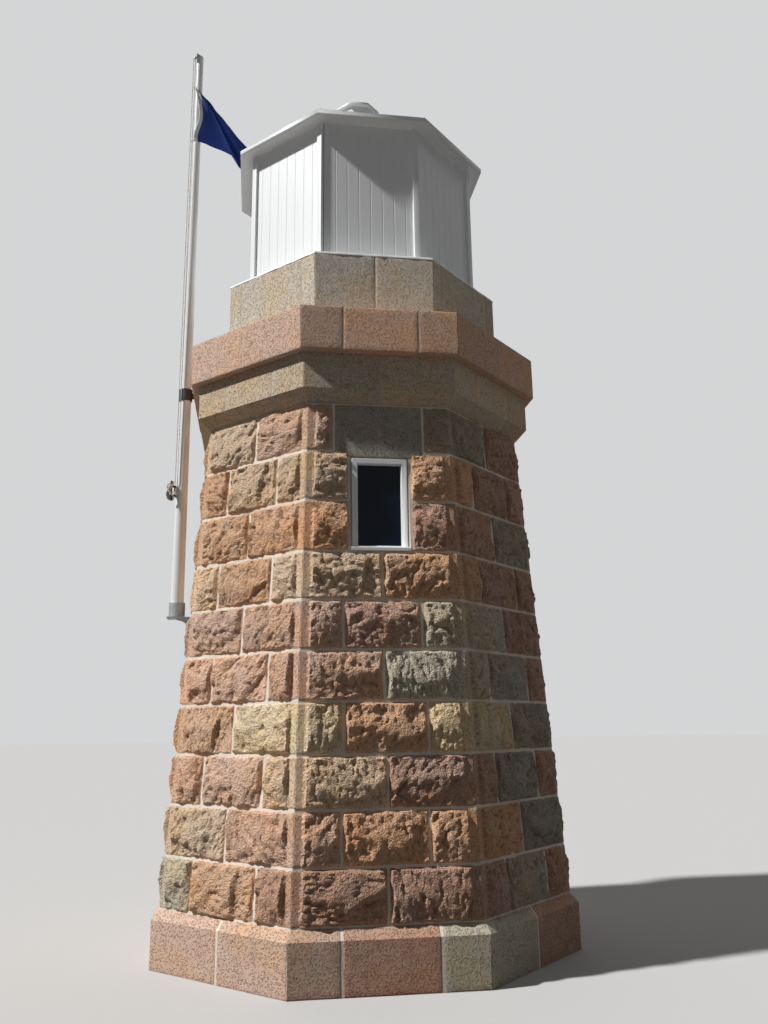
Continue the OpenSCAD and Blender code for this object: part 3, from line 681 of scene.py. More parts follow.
def stone(surface, settings, face, course, section, ends, key, kind, proud=0.0, smooth=None):
    """One stone. Its section's (out, z) points run from the back of its bed round its face to its top's back.
    Where it is broken it stands out by proud, and smooth says how much of that is left at each point."""
    left, right = ends
    step = settings.grain if proud else SMOOTH_STEP
    rng = np.random.default_rng([settings.seed, face, course, key[-1], 5])
    rows, climb, lean = rows_up(section, step)
    out, z = rows.T
    start, end = end_of(left, -1, out), end_of(right, 1, out)
    width, height = float((end - start).mean()), climb[-1]
    share = spaced(width, step) / width
    x = np.broadcast_to(share * width, (len(rows), len(share)))
    y = np.broadcast_to(climb[:, None], x.shape)
    inner = (np.minimum(x, width - x) > 2 * JITTER_EDGE) & (np.minimum(y, height - y) > 2 * JITTER_EDGE)
    shift_x, shift_y = (rng.uniform(-0.38, 0.38, x.shape) * step * inner * bool(proud) for _ in range(2))
    x, y = x + shift_x, y + shift_y
    along = start[:, None] + share * (end - start)[:, None]
    rise = inside = np.zeros_like(x)
    if proud:
        margins = [settings.corner_margin if place is None else 0.003 for place in ends]
        rise, inside = broken_face(rng, x, y, (width, height), margins, proud)
        if smooth:
            keep = smooth(along, np.broadcast_to(z[:, None], x.shape))
            rise, inside = rise * keep, inside * keep
    on_corner = (x < TOUCH) & (left is None) | (width - x < TOUCH) & (right is None)
    edge = 0.003 + 0.006 * wander(rng, x, y, 0.045).clip(0) * bool(proud) * ~on_corner
    for distance, place, corner in ((x, left, (face - 1) % FACES), (width - x, right, face)):
        if place is None:
            worn = worn_corner(settings, course, corner, z)[:, None]
            rise = np.where(distance < TOUCH, -worn, rise)
        else:
            rise = rise - edge * (1 - distance / (2 * edge)).clip(0)
    across = np.minimum(y, height - y)
    rise = rise - edge * (1 - across / (2 * edge)).clip(0)
    uneven = 0.0008 * wander(rng, x, y, 0.12) * (across > TOUCH) * (np.minimum(x, width - x) > TOUCH)
    out_grid = out[:, None] + (rise + uneven) * lean[:, :1] + shift_y * np.gradient(out, climb)[:, None]
    z_grid = z[:, None] + (rise + uneven) * lean[:, 1:] + shift_y * np.gradient(z, climb)[:, None]
    along = along + shift_x
    for side, place, column in ((-1, left, 0), (1, right, -1)):
        if place is None:
            along[:, column] = side * out_grid[:, column] * math.tan(HALF_TURN)
    backs = []
    for back_out, back_z in (section[0], section[-1]):
        back_start, back_end = (end_of(e, s, np.array([back_out])) for e, s in ((left, -1), (right, 1)))
        backs.append(on_face(face, back_start + share * (back_end - back_start), back_out, back_z)[None])
    # Painted shade: how far each point lies below its blurred surroundings. The granite's colour uses it to
    # darken the hollows of the rock faces.
    hollow = ((blurred(rise, 6) - rise) / 0.006).clip(0, 1) * (inside > 0)
    pad = np.zeros((1, len(share)))
    surface.add(
        np.concatenate([backs[0], on_face(face, along, out_grid, z_grid), backs[1]]),
        tint=tint_of(settings, key, kind),
        shift=np.random.default_rng([settings.seed, *key]).uniform(-20, 20, 3),
        broken=np.concatenate([pad, inside * (rise > 0.002), pad]),
        hollow=np.concatenate([pad, hollow, pad]),
    )


JOINT_SHARE = 0.485
DOOR_LINTEL_SHARE = 0.78
CORNER_KEY, MIDDLE_KEY, LINTEL_KEY = 1, 2, 3
# The right front side lists only the red-brown and grey-brown kinds, as does the grey-brown stone beside the
# lintel on the front. This darkens that whole side: partly the stones' own colours, partly painted shade.
KNOWN_CORNERS = {
    LEFT: "rose olive tan pink orange pink pink tan orange orange tan",
    FRONT_LEFT: "rose brown pink tan straw pink pink tan orange tan pink",
    FRONT: "olive brown orange brown straw olive olive orange brown orange slate",
    FRONT_RIGHT: "brown brown slate brown slate brown brown brown slate brown brown",
}
KNOWN_MIDDLES = {
    FRONT_RIGHT: "brown slate brown slate brown slate brown brown brown brown slate",
    FRONT_LEFT: "pink orange pink pink orange pink pink orange tan tan pink",
    FRONT: "brown orange orange orange orange orange brown orange brown orange brown",
}
KINDS = ["pink", "orange", "brown", "tan", "olive"]
KIND_SHARES = [0.44, 0.20, 0.20, 0.10, 0.06]


def stones_along(settings, face, course, half, joint, share=JOINT_SHARE):
    """The stones of a course on one face, as ends and key. Rows of three take turns with rows of two, on one
    face after another, so that each corner stone has a long and a short side."""
    rng = np.random.default_rng([settings.seed, 9, face, course + 1])
    drift = rng.uniform(-0.03, 0.03, 2)
    left_key = (course + 1, (face - 1) % FACES, CORNER_KEY)
    right_key = (course + 1, face, CORNER_KEY)
    gap = joint / 2
    if (face + course) % 2:
        first, second = (drift[0] - share) * half, (share + drift[1]) * half
        middle_key = (course + 1, face, MIDDLE_KEY)
        middle = ((first + gap, second - gap), middle_key)
        return [((None, first - gap), left_key), middle, ((second + gap, None), right_key)]
    middle = drift[0] * half
    return [((None, middle - gap), left_key), ((middle + gap, None), right_key)]


def kind_of(settings, key):
    """The kind of stone at a place: as listed from the plinth up on the sides that show, or by chance."""
    course, face, part = key
    known = (KNOWN_CORNERS if part == CORNER_KEY else KNOWN_MIDDLES).get(face)
    if known:
        return known.split()[course]
    rng = np.random.default_rng([settings.seed, 17, *key])
    return str(rng.choice(KINDS, p=KIND_SHARES))


def cut_by(stones, half):
    """The stones beside an opening: the two corner stones, ended at the opening's edges."""
    return [((None, -half), stones[0][1]), ((half, None), stones[-1][1])]


def wall_section(settings, low, high, depth):
    """Section of one course of the shaft, between its mortar beds."""
    low, high = low + settings.joint / 2, high - settings.joint / 2
    faces = [(wall_out(low), low), (wall_out(high), high)]
    return [(faces[0][0] - depth, low), *faces, (faces[1][0] - depth, high)]


WALL_NAMES = ["front", "front_right", "right", "back_right", "back", "back_left", "left", "front_left"]
REPLACED = {
    FRONT: ["front_wall", "window_jamb_left", "window_jamb_right", "window_lintel"],
    BACK: ["back_wall", "door_lintel", "door_jamb_left", "door_jamb_right"],
}
EMBED = 0.004
REVEAL_DEPTH = 0.10
PLAIN_PROUD = 0.008
LINTEL_DROP = 0.038
BRACKET_MARGIN = 0.016
WHOLE = (None, None)
BESIDE_WINDOW = [(None, -WINDOW_HALF), (WINDOW_HALF, None)]
BESIDE_DOOR = [(None, -DOOR_HALF - EMBED), (DOOR_HALF + EMBED, None)]


def bracket_bed(along, z):
    """How far points of the left face are from the bracket's flat bed: 0 on it, and 1 well off it."""
    low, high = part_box("pole_bracket")
    beside = np.abs(along) - (high.y - low.y) / 2
    away = np.maximum(beside, np.maximum(low.z - z, z - high.z)) - BRACKET_MARGIN
    return (away / 0.02).clip(0, 1)


def openings_of(face):
    """The stretches of a wall's core, as foot, top and the ends of its parts beside an opening."""
    if face == FRONT:
        under, over = (FOOT_Z, WINDOW_Z, [WHOLE]), (WINDOW_TOP_Z, HEAD_Z, [WHOLE])
        return [under, (WINDOW_Z, WINDOW_TOP_Z, BESIDE_WINDOW), over]
    if face == BACK:
        return [(FOOT_Z, DOOR_TOP_Z, BESIDE_DOOR), (DOOR_TOP_Z, HEAD_Z, [WHOLE])]
    return [(FOOT_Z, HEAD_Z, [WHOLE])]


def build_lintel(surface, settings, low, high):
    """The lintel over the window, which laps down in front of the head of its frame."""
    section = wall_section(settings, low - LINTEL_DROP - settings.joint / 2, high, REVEAL_DEPTH)
    half = WINDOW_LINTEL_HALF - settings.joint / 2
    stone(surface, settings, FRONT, LINTEL_COURSE, section, (-half, half), (99, FRONT, LINTEL_KEY), "slate")


def build_wall(settings, face, materials):
    """One face of the shaft: its mortar core, and ten courses of stones in front of it."""
    surface = Surface(WALL_NAMES[face] + "_stones", materials)
    back = settings.joint_back
    for low, high, parts in openings_of(face):
        outer = [(wall_out(low) - back, low), (wall_out(high) - back, high)]
        section = [(ROOM_OUT, low), *outer, (ROOM_OUT, high)]
        for left, right in parts:
            prism(surface, face, section, left, right, slot=1)
    for course in range(COURSES):
        low, high = BEDS[course], BEDS[course + 1]
        half = wall_out((low + high) / 2) * math.tan(HALF_TURN)
        stones = stones_along(settings, face, course, half, settings.joint)
        depth = back + EMBED
        if face == FRONT and LOWER_COURSES <= course < LINTEL_COURSE:
            stones, depth = cut_by(stones, WINDOW_HALF + settings.joint), REVEAL_DEPTH
        if face == FRONT and course == LINTEL_COURSE:
            stones = cut_by(stones, WINDOW_LINTEL_HALF + settings.joint / 2)
            build_lintel(surface, settings, low, high)
        if face == FRONT and course == LOWER_COURSES - 1:
            depth = REVEAL_DEPTH
        if face == BACK and course < DOOR_COURSES:
            stones, depth = cut_by(stones, DOOR_HALF), REVEAL_DEPTH
        if face == BACK and course == DOOR_COURSES:
            stones = stones_along(settings, face, course, half, settings.joint, DOOR_LINTEL_SHARE)
            depth = REVEAL_DEPTH
        section = wall_section(settings, low, high, depth)
        smooth = bracket_bed if face == LEFT else None
        for ends, key in stones:
            kind = kind_of(settings, key)
            proud = PLAIN_PROUD if face == FRONT and kind == "slate" else settings.rock_out
            stone(surface, settings, face, course, section, ends, key, kind, proud, smooth)
    return settle(surface.build(), "stone", *REPLACED.get(face, [WALL_NAMES[face] + "_wall"]))


def dressed_course(settings, materials, node, slot, section, inner, course, kind, joint, share=JOINT_SHARE):
    """A ring of dressed stones in place of a CAD node. They reach through it, with mortar between them."""
    surface = Surface(node + "_stones", materials)
    foot, top = section[0][1], section[-1][1]
    bed = [(inner, foot), *section, (inner, top)]
    behind = settings.joint_back / 3
    core = [(inner + behind, foot + behind)]
    core += [(out - settings.joint_back / 2, min(max(z, foot + behind), top - behind)) for out, z in section]
    core += [(inner + behind, top - behind)]
    half = section[0][0] * math.tan(HALF_TURN)
    for face in range(FACES):
        stones = stones_along(settings, face, course, half, joint, share)
        parts = [WHOLE]
        if node == "plinth" and face == BACK:
            stones, parts = cut_by(stones, DOOR_HALF), BESIDE_DOOR
        for left, right in parts:
            prism(surface, face, core, left, right, slot=1)
        for ends, key in stones:
            stone(surface, settings, face, course + 1, bed, ends, key, kind or kind_of(settings, key))
    return settle(surface.build(), slot, node)


def coat(node, material):
    """Gives a CAD node that keeps its own shape a finish."""
    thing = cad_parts[node]
    if not thing.material_slots:
        thing.data.materials.append(material)
    for slot in thing.material_slots:
        slot.link = "OBJECT"
        slot.material = material


def mesh_from(work, name):
    """The mesh that a piece of work ends in."""
    mesh = bpy.data.meshes.new(name)
    work.to_mesh(mesh)
    work.free()
    return mesh


CREASE = 30.0
MERGED = 0.00002


def worked(node, slot, material, edge):
    """A copy of a CAD node with its sharp edges eased, in the node's place."""
    work = bmesh.new()
    work.from_mesh(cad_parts[node].data)
    bmesh.ops.remove_doubles(work, verts=work.verts, dist=MERGED)
    bmesh.ops.dissolve_limit(work, angle_limit=math.radians(1), verts=work.verts, edges=work.edges)
    sharp = [e for e in work.edges if len(e.link_faces) == 2 and e.calc_face_angle() > math.radians(CREASE)]
    bmesh.ops.bevel(work, geom=sharp, offset=edge, segments=2, affect="EDGES", clamp_overlap=True)
    mesh = mesh_from(work, node + "_finished")
    mesh.polygons.foreach_set("material_index", [0] * len(mesh.polygons))
    return settle(piece_of(mesh, [material], CREASE), slot, node)


class Pattern(Tree):
    """A geometry tree with named sizes, which repeats a mesh or follows a path and ends in plain faces."""

    def __init__(self, name, sizes):
        super().__init__(bpy.data.node_groups.new(name, "GeometryNodeTree"))
        self.name = name
        self.sizes = sizes
        face = self.tree.interface
        face.new_socket("Geometry", in_out="INPUT", socket_type="NodeSocketGeometry")
        self.keys = {}
        for label, value in sizes.items():
            kind = "NodeSocketInt" if isinstance(value, int) else "NodeSocketFloat"
            self.keys[label] = face.new_socket(label, in_out="INPUT", socket_type=kind).identifier
        face.new_socket("Geometry", in_out="OUTPUT", socket_type="NodeSocketGeometry")
        self.start = self.tree.nodes.new("NodeGroupInput")

    def size(self, label):
        """One of the tree's named sizes."""
        return Socket(self, self.start.outputs[label])

    def given(self):
        """The mesh that the tree is run on."""
        return Socket(self, self.start.outputs["Geometry"])

    def vector(self, x=0.0, y=0.0, z=0.0):
        """Three numbers as a vector."""
        return self.add("ShaderNodeCombineXYZ", {}, {"X": x, "Y": y, "Z": z})

    def row(self, count, start, step):
        """Points in a straight row."""
        sockets = {"Count": count, "Start Location": start, "Offset": step}
        return self.add("GeometryNodeMeshLine", {}, sockets)

    def turned(self, angle):
        """A rotation about the upright axis."""
        return self.add("FunctionNodeEulerToRotation", {}, {"Euler": self.vector(z=angle)})

    def placed(self, points, thing, rotation=None):
        """A copy of a thing at each point."""
        sockets = {"Points": points, "Instance": thing}
        if rotation is not None:
            sockets["Rotation"] = rotation
        return self.add("GeometryNodeInstanceOnPoints", {}, sockets)

    def around(self, count, first, thing):
        """Copies of a thing round the building's axis, on one side after another from the first."""
        centre = self.row(count, self.vector(), self.vector())
        side = self.add("GeometryNodeInputIndex") + first
        return self.placed(centre, thing, self.turned(side * FACE_TURN))

    def grow(self, result, given, material, sharp=30.0):
        """Runs the tree on a mesh and returns what it makes as a piece with a plain mesh."""
        real = self.add("GeometryNodeRealizeInstances", {}, {"Geometry": result})
        coated = self.add("GeometryNodeSetMaterial", {}, {"Geometry": real, "Material": material})
        end = self.tree.nodes.new("NodeGroupOutput")
        self.tree.links.new(coated.socket, end.inputs["Geometry"])
        piece = bpy.data.objects.new(self.name, given)
        bpy.context.collection.objects.link(piece)
        modifier = piece.modifiers.new(self.name, "NODES")
        modifier.node_group = self.tree
        for label, value in self.sizes.items():
            modifier[self.keys[label]] = value
        made = bpy.data.meshes.new_from_object(piece.evaluated_get(bpy.context.evaluated_depsgraph_get()))
        piece.modifiers.clear()
        piece.data = made
        made.name = self.name
        made.shade_smooth()
        made.set_sharp_from_angle(angle=math.radians(sharp))
        return piece


def ringed(name, rings, looped=False):
    """A mesh over rings of points, one after another, with closed ends, or with joined ends when looped."""
    work = bmesh.new()
    rings = [[work.verts.new(point) for point in ring] for ring in rings]
    if not looped:
        work.faces.new(rings[0])
        work.faces.new(rings[-1])
    for ring, following in zip(rings, rings[1:] + rings[:looped]):
        for i in range(len(ring)):
            j = (i + 1) % len(ring)
            work.faces.new((ring[i], ring[j], following[j], following[i]))
    bmesh.ops.recalc_face_normals(work, faces=work.faces)
    return mesh_from(work, name)


def upright(name, outline, bottom, top):
    """A mesh of one upright timber with the given outline, seen from above."""
    return ringed(name, [[(x, y, z) for x, y in outline] for z in (bottom, top)])


def board_mesh(width, thick, height, v_joint):
    """One upright board with its outer edges cut to a V. Its outer face is at y = 0 and its foot at z = 0."""
    half = width / 2
    deep = v_joint * 0.4
    left = [(-half, thick), (-half, deep), (-half + v_joint, 0)]
    right = [(-x, y) for x, y in reversed(left)]
    return upright("board", left + right, 0, height)


def boarded(name, board, count, pitch, out, foot, first, sides, material):
    """Rows of boards on the sides of the building, from one board."""
    sizes = {"Boards": count, "Pitch": pitch, "Out": out, "Foot": foot, "First side": first, "Sides": sides}
    p = Pattern(name, sizes)
    start = p.vector((1.0 - p.size("Boards")) * p.size("Pitch") * 0.5, -1.0 * p.size("Out"), p.size("Foot"))
    row = p.row(p.size("Boards"), start, p.vector(p.size("Pitch")))
    panel = p.placed(row, p.given())
    return p.grow(p.around(p.size("Sides"), p.size("First side"), panel), board, material, 12.0)


def build_corner_boards(settings, boards_out, paint):
    """A board at each corner of the lantern, cut off square there and with its other edge rounded.

    Each is at the right end of its side. The left side has none, and the front left side has one at each end.
    """
    low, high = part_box("corner_boards")
    corner = boards_out * math.tan(HALF_TURN)
    inner, outer = corner - settings.corner_width, corner + 0.003
    back, let_in = -boards_out + 0.006, 0.008
    outline = [(inner, back)]
    for middle, edge, start in ((inner + 0.008, 0.008, math.pi), (outer - 0.0015, 0.0015, 1.5 * math.pi)):
        for i in range(5):
            turn = start + i * math.pi / 8
            outline.append((middle + edge * math.cos(turn), -high.y + edge * (1 + math.sin(turn))))
    outline.append((outer, back))
    board = upright("corner_board", outline, low.z - let_in, high.z + let_in)
    p = Pattern("corner_boards_finished", {"Boards": FACES})
    # The last board moves from the right end of the front left side to its left end.
    index = p.add("GeometryNodeInputIndex")
    last = p.add("ShaderNodeMath", {"operation": "GREATER_THAN"}, {0: index, 1: FACES - 1.5})
    aside = last * -(inner + outer)
    place = p.vector(aside * math.cos(FACE_TURN), aside * -math.sin(FACE_TURN))
    points = p.row(p.size("Boards"), p.vector(), p.vector())
    spread = p.add("GeometryNodeSetPosition", {}, {"Geometry": points, "Offset": place})
    turned = p.turned((index - 1.0 + last) * FACE_TURN)
    return settle(p.grow(p.placed(spread, p.given(), turned), board, paint), "white_paint", "corner_boards")


ROLL_SIDES = 14


def build_hip_rolls(settings, roof):
    """Rolls along the hips of the roof, which run out into it before the eaves."""
    low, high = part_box("lantern_roof")
    foot = Vector((half_width("lantern_roof", False) / math.cos(HALF_TURN), 0, low.z))
    head = Vector((half_width("vent_drum", True) / math.cos(HALF_TURN), 0, high.z))
    length = (foot - head).length
    along = (foot - head).normalized()
    sideways = Vector((0, 1, 0))
    upwards = along.cross(sideways)
    rings = []
    for from_foot, share in ((length, 1.0), (0.11, 1.0), (0.07, 0.85), (0.04, 0.50), (0.022, 0.10)):
        radius = share * settings.hip_roll / 2
        turns = [math.tau * i / ROLL_SIDES for i in range(ROLL_SIDES)]
        middle = foot - along * from_foot
        rings.append([middle + (sideways * math.cos(t) + upwards * math.sin(t)) * radius for t in turns])
    p = Pattern("hip_rolls_finished", {"Sides": FACES})
    piece = p.grow(p.around(p.size("Sides"), 0.5, p.given()), ringed("hip_roll", rings), roof)
    return settle(piece, "roof_paint", "hip_rolls")


def build_weathering(settings, paint):
    """Painted mortar on top of the lantern base, which sheds rain from the sill to the edge of the stones."""
    rng = np.random.default_rng([settings.seed, 61])
    surface = Surface("base_weathering", [paint])
    foot = high_z("lantern_base") + TOUCH
    inner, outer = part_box("lantern_sill")[1].y - 0.03, BASE_OUT + 0.002
    section = [
        (inner, 0.0),
        (outer - 0.02, 0.0),
        (outer, 0.0),
        (outer, 0.008),
        (outer - 0.004, 0.016),
        (outer - 0.014, 0.023),
        (inner, 0.034),
    ]
    share = np.linspace(-1, 1, 41)
    edge = share * outer * math.tan(HALF_TURN)
    for face in range(FACES):
        ragged = 0.003 * wander(rng, edge, share * 0, 0.06) * (np.abs(share) < 1)
        rows = []
        for out, level in section:
            outs = out + ragged * (out > inner)
            rows.append(on_face(face, share * outs * math.tan(HALF_TURN), outs, foot + level))
        surface.add(np.stack(rows))
    return settle(surface.build(), "white_paint")


def bolt_mesh(across, head):
    """A hexagon bolt head on a washer, along -Y, with its underside at y = 0."""
    work = bmesh.new()
    washer = head * 0.22
    for sides, radius, low, high in ((16, across, 0.0, washer), (6, across * 0.62, washer, head)):
        size = {"radius1": radius, "radius2": radius, "depth": high - low}
        made = bmesh.ops.create_cone(work, cap_ends=True, segments=sides, **size)
        bmesh.ops.translate(work, verts=made["verts"], vec=(0, 0, (low + high) / 2))
    bmesh.ops.rotate(work, verts=work.verts, matrix=Matrix.Rotation(math.pi / 2, 3, "X"))
    return mesh_from(work, "bolt")


def bolted(name, across, head, columns, rows, out, foot, side, material):
    """A grid of bolts on one side of the building: columns and rows are each a count and a spacing."""
    sizes = {"Columns": columns[0], "Column step": columns[1], "Rows": rows[0], "Row step": rows[1]}
    sizes |= {"Out": out, "Foot": foot, "Side": side}
    p = Pattern(name, sizes)
    left = (1.0 - p.size("Columns")) * p.size("Column step") * 0.5
    line = p.row(p.size("Columns"), p.vector(left), p.vector(p.size("Column step")))
    one_row = p.placed(line, p.given())
    start = p.vector(0.0, -1.0 * p.size("Out"), p.size("Foot"))
    stack = p.placed(p.row(p.size("Rows"), start, p.vector(z=p.size("Row step"))), one_row)
    return settle(p.grow(p.around(1, p.size("Side"), stack), bolt_mesh(across, head), material), "galvanised")


def bar_piece(name, slot, material, bars, edge):
    """A piece made of straight bars with eased edges, each given by its low and high corners."""
    work = bmesh.new()
    for low, high in np.array(bars):
        made = bmesh.ops.create_cube(work, size=1)["verts"]
        bmesh.ops.scale(work, verts=made, vec=high - low)
        bmesh.ops.translate(work, verts=made, vec=(high + low) / 2)
        edges = {e for v in made for e in v.link_edges}
        bmesh.ops.bevel(work, geom=list(edges), offset=edge, segments=2, affect="EDGES")
    return settle(piece_of(mesh_from(work, name), [material]), slot)


def mitred_ring(name, slot, material, opening, profile):
    """A moulding round an upright rectangle: profile points are (inwards from the rectangle, y)."""
    (left, foot), (right, top) = opening
    rings = [
        [(left + d, y, foot + d), (right - d, y, foot + d), (right - d, y, top - d), (left + d, y, top - d)]
        for d, y in profile
    ]
    return settle(piece_of(ringed(name, rings, looped=True), [material]), slot)


def build_sill(settings, paint, front):
    """A weathered sill in front of the foot of the window frame, with a sloping top and a rounded nose."""
    low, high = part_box("window_frame")[0].z + 0.003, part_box("window_glass")[0].z - 0.004
    nose = wall_out(low) + settings.sill_out
    outline = [
        (-front - 0.004, low),
        (nose - 0.006, low),
        (nose, low + 0.006),
        (nose, low + 0.022),
        (nose - 0.005, low + 0.028),
        (-front - 0.004, high),
    ]
    surface = Surface("window_sill", [paint])
    prism(surface, FRONT, outline, -WINDOW_HALF + 0.0005, WINDOW_HALF - 0.0005)
    return settle(surface.build(), "white_paint")


def joinery_paint(settings):
    """The gloss paint on all the woodwork."""
    return finish("joinery_gloss", paint_finish, tuple(settings.paint))


def ironwork(settings):
    """The dark metal of the clamp, the cleat and the door's knob."""
    return finish("black_iron", metal_finish, tuple(settings.iron), 0.5, 0.02)


def stone_materials(settings):
    """The granite and the mortar of the walls."""
    return [finish("granite", stone_finish), finish("lime_mortar", mortar_finish, tuple(settings.mortar))]


class LIGHT_OT_walls(bpy.types.Operator):
    """Builds the eight faces of the shaft from rock-faced stones with smooth corners"""

    bl_idname = "harbour_light.walls"
    bl_label = "Rock-faced walls"

    def execute(self, context):
        settings = context.scene.light_stonework
        for face in range(FACES):
            build_wall(settings, face, stone_materials(settings))
        return {"FINISHED"}


FINE_MORTAR_SHARES = (0.66, 0.62, 0.58)
BASE_SHARE = 0.73


class LIGHT_OT_dressed(bpy.types.Operator):
    """Builds the plinth, cornice, parapet band and lantern base from dressed stones"""

    bl_idname = "harbour_light.dressed"
    bl_label = "Dressed courses"

    def execute(self, context):
        settings = context.scene.light_stonework
        materials = stone_materials(settings)
        darker = tuple(channel * share for channel, share in zip(settings.mortar, FINE_MORTAR_SHARES))
        tight = [materials[0], finish("fine_mortar", mortar_finish, darker)]
        corners, splay = corners_of("plinth"), corners_of("cornice")
        shoulder = float(corners[(corners[:, 1] > PLINTH_OUT - TOUCH), 2].max())
        splay_top = float(splay[(splay[:, 1] > CORNICE_OUT - TOUCH), 2].min())
        plinth = [(PLINTH_OUT, 0.0), (PLINTH_OUT, shoulder), (FOOT_OUT, FOOT_Z)]
        cornice_top, band_top = low_z("parapet_band"), low_z("lantern_base")
        cornice = [(HEAD_OUT, HEAD_Z), (CORNICE_OUT, splay_top), (CORNICE_OUT, cornice_top)]
        band = [(BAND_OUT, cornice_top), (BAND_OUT, band_top)]
        base = [(BASE_OUT, band_top), (BASE_OUT, high_z("lantern_base"))]
        wide, fine = settings.joint * 0.8, settings.fine_joint
        dressed_course(settings, materials, "plinth", "stone", plinth, ROOM_OUT, -1, None, wide)
        courses = [
            ("cornice", "pale_stone", cornice, ROOM_OUT, "buff", JOINT_SHARE),
            ("parapet_band", "stone", band, LANTERN_ROOM_OUT, "rose", JOINT_SHARE),
            ("lantern_base", "pale_stone", base, LANTERN_ROOM_OUT, "grey", BASE_SHARE),
        ]
        for course, (node, slot, section, inner, kind, share) in enumerate(courses, COURSES):
            dressed_course(settings, tight, node, slot, section, inner, course, kind, fine, share)
        return {"FINISHED"}


class LIGHT_OT_floors(bpy.types.Operator):
    """Finishes the floors inside and the threshold"""

    bl_idname = "harbour_light.floors"
    bl_label = "Floors and threshold"

    def execute(self, context):
        stone_floor = finish("worn_flags", plain_stone_finish, (0.42, 0.37, 0.30))
        coat("ground_floor", stone_floor)
        coat("lantern_floor", finish("floor_timber", timber_finish))
        worked("door_threshold", "pale_stone", stone_floor, 0.006)
        return {"FINISHED"}


class LIGHT_OT_window(bpy.types.Operator):
    """Builds the window: a frame with its bead and gasket, a sill and dark glass"""

    bl_idname = "harbour_light.window"
    bl_label = "Window"

    def execute(self, context):
        settings = context.scene.light_joinery
        paint = joinery_paint(settings)
        piece = worked("window_frame", "white_paint", paint, settings.edge)
        coat("window_glass", finish("window_pane", glass_finish))
        low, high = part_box("window_glass")
        frame_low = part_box("window_frame")[0]
        front = frame_low.y
        frame_top = high.z + low.x - frame_low.x
        piece.data.materials.append(stone_materials(context.scene.light_stonework)[1])
        # What stands above the frame's head is mortar.
        for face in piece.data.polygons:
            if face.center.z > frame_top - 0.001 + settings.edge and face.center.y > front + 0.01:
                face.material_index = 1
        lip = settings.bead
        opening = ((low.x, low.z), (high.x, high.z))
        bead = [
            (-0.004, front + 0.006),
            (lip * 0.35, front + 0.006),
            (lip * 0.75, front + 0.009),
            (lip, front + 0.016),
            (lip, low.y + 0.001),
            (-0.004, low.y + 0.001),
        ]
        mitred_ring("window_bead", "white_paint", paint, opening, bead)
        build_sill(settings, paint, front)
        (under, over), (near, far) = (lip - 0.001, lip + 0.004), (low.y - 0.004, low.y + 0.001)
        gasket = [(under, near), (over, near), (over, far), (under, far)]
        rubber = finish("black_gasket", paint_finish, (0.012, 0.012, 0.013), HANGING_RUNS, 0.05, 0.6)
        mitred_ring("window_gasket", "dark_metal", rubber, opening, gasket)
        return {"FINISHED"}


class LIGHT_OT_door(bpy.types.Operator):
    """Builds the door: a frame, a boarded leaf on ledges and its knob"""

    bl_idname = "harbour_light.door"
    bl_label = "Door"

    def execute(self, context):
        settings = context.scene.light_joinery
        paint = joinery_paint(settings)
        worked("door_frame", "white_paint", paint, settings.edge)
        low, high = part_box("door_leaf")
        width, height = high.x - low.x, high.z - low.z
        count = round(width / settings.board)
        thick = (high.y - low.y) / 2
        pitch = width / count
        board = board_mesh(pitch - 0.0006, thick, height, settings.v_joint)
        leaf = boarded("door_boards", board, count, pitch, high.y, low.z, BACK, 1, paint)
        settle(leaf, "white_paint", "door_leaf")
        ledge = 0.14
        ledges = [
            ((low.x + 0.02, low.y, z), (high.x - 0.02, high.y - thick, z + ledge))
            for z in (low.z + 0.16, (low.z + high.z - ledge) / 2, high.z - 0.16 - ledge)
        ]
        bar_piece("door_ledges", "white_paint", paint, ledges, settings.edge)
        coat("door_handle", ironwork(context.scene.light_pole))
        return {"FINISHED"}


class LIGHT_OT_lantern(bpy.types.Operator):
    """Builds the boarded lantern, its corner boards, sill, soffit, eaves board, roof and vent"""

    bl_idname = "harbour_light.lantern"
    bl_label = "Lantern and roof"

    def execute(self, context):
        settings = context.scene.light_joinery
        paint = joinery_paint(settings)
        corners = corners_of("lantern_boarding")
        mitres = corners[np.abs(corners[:, 0] - corners[:, 1] * math.tan(HALF_TURN)) < TOUCH, 1]
        inside, outside = float(mitres[mitres > 0].min()), float(mitres.max())
        width = 2 * inside * math.tan(HALF_TURN)
        count = round(width / settings.board)
        pitch = width / count
        low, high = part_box("lantern_boarding")
        board = board_mesh(pitch - TOUCH, outside - inside, high.z - low.z, settings.v_joint)
        boards = boarded("lantern_boards", board, count, pitch, outside, low.z, FRONT, FACES, paint)
        settle(boards, "white_paint", "lantern_boarding")
        build_corner_boards(settings, outside, paint)
        build_weathering(context.scene.light_stonework, paint)
        worked("lantern_sill", "white_paint", paint, settings.edge)
        worked("soffit", "white_paint", paint, 0.002)
        worked("eaves_board", "white_paint", paint, settings.edge)
        roof = paint_finish("roof_paint", (0.66, 0.67, 0.67), (2.0, 2.0, 2.0), 0.25, 0.45)
        worked("lantern_roof", "roof_paint", roof, 0.004)
        build_hip_rolls(settings, roof)
        worked("vent_drum", "roof_paint", paint, 0.003)
        worked("vent_lid", "roof_paint", paint, 0.003)
        return {"FINISHED"}


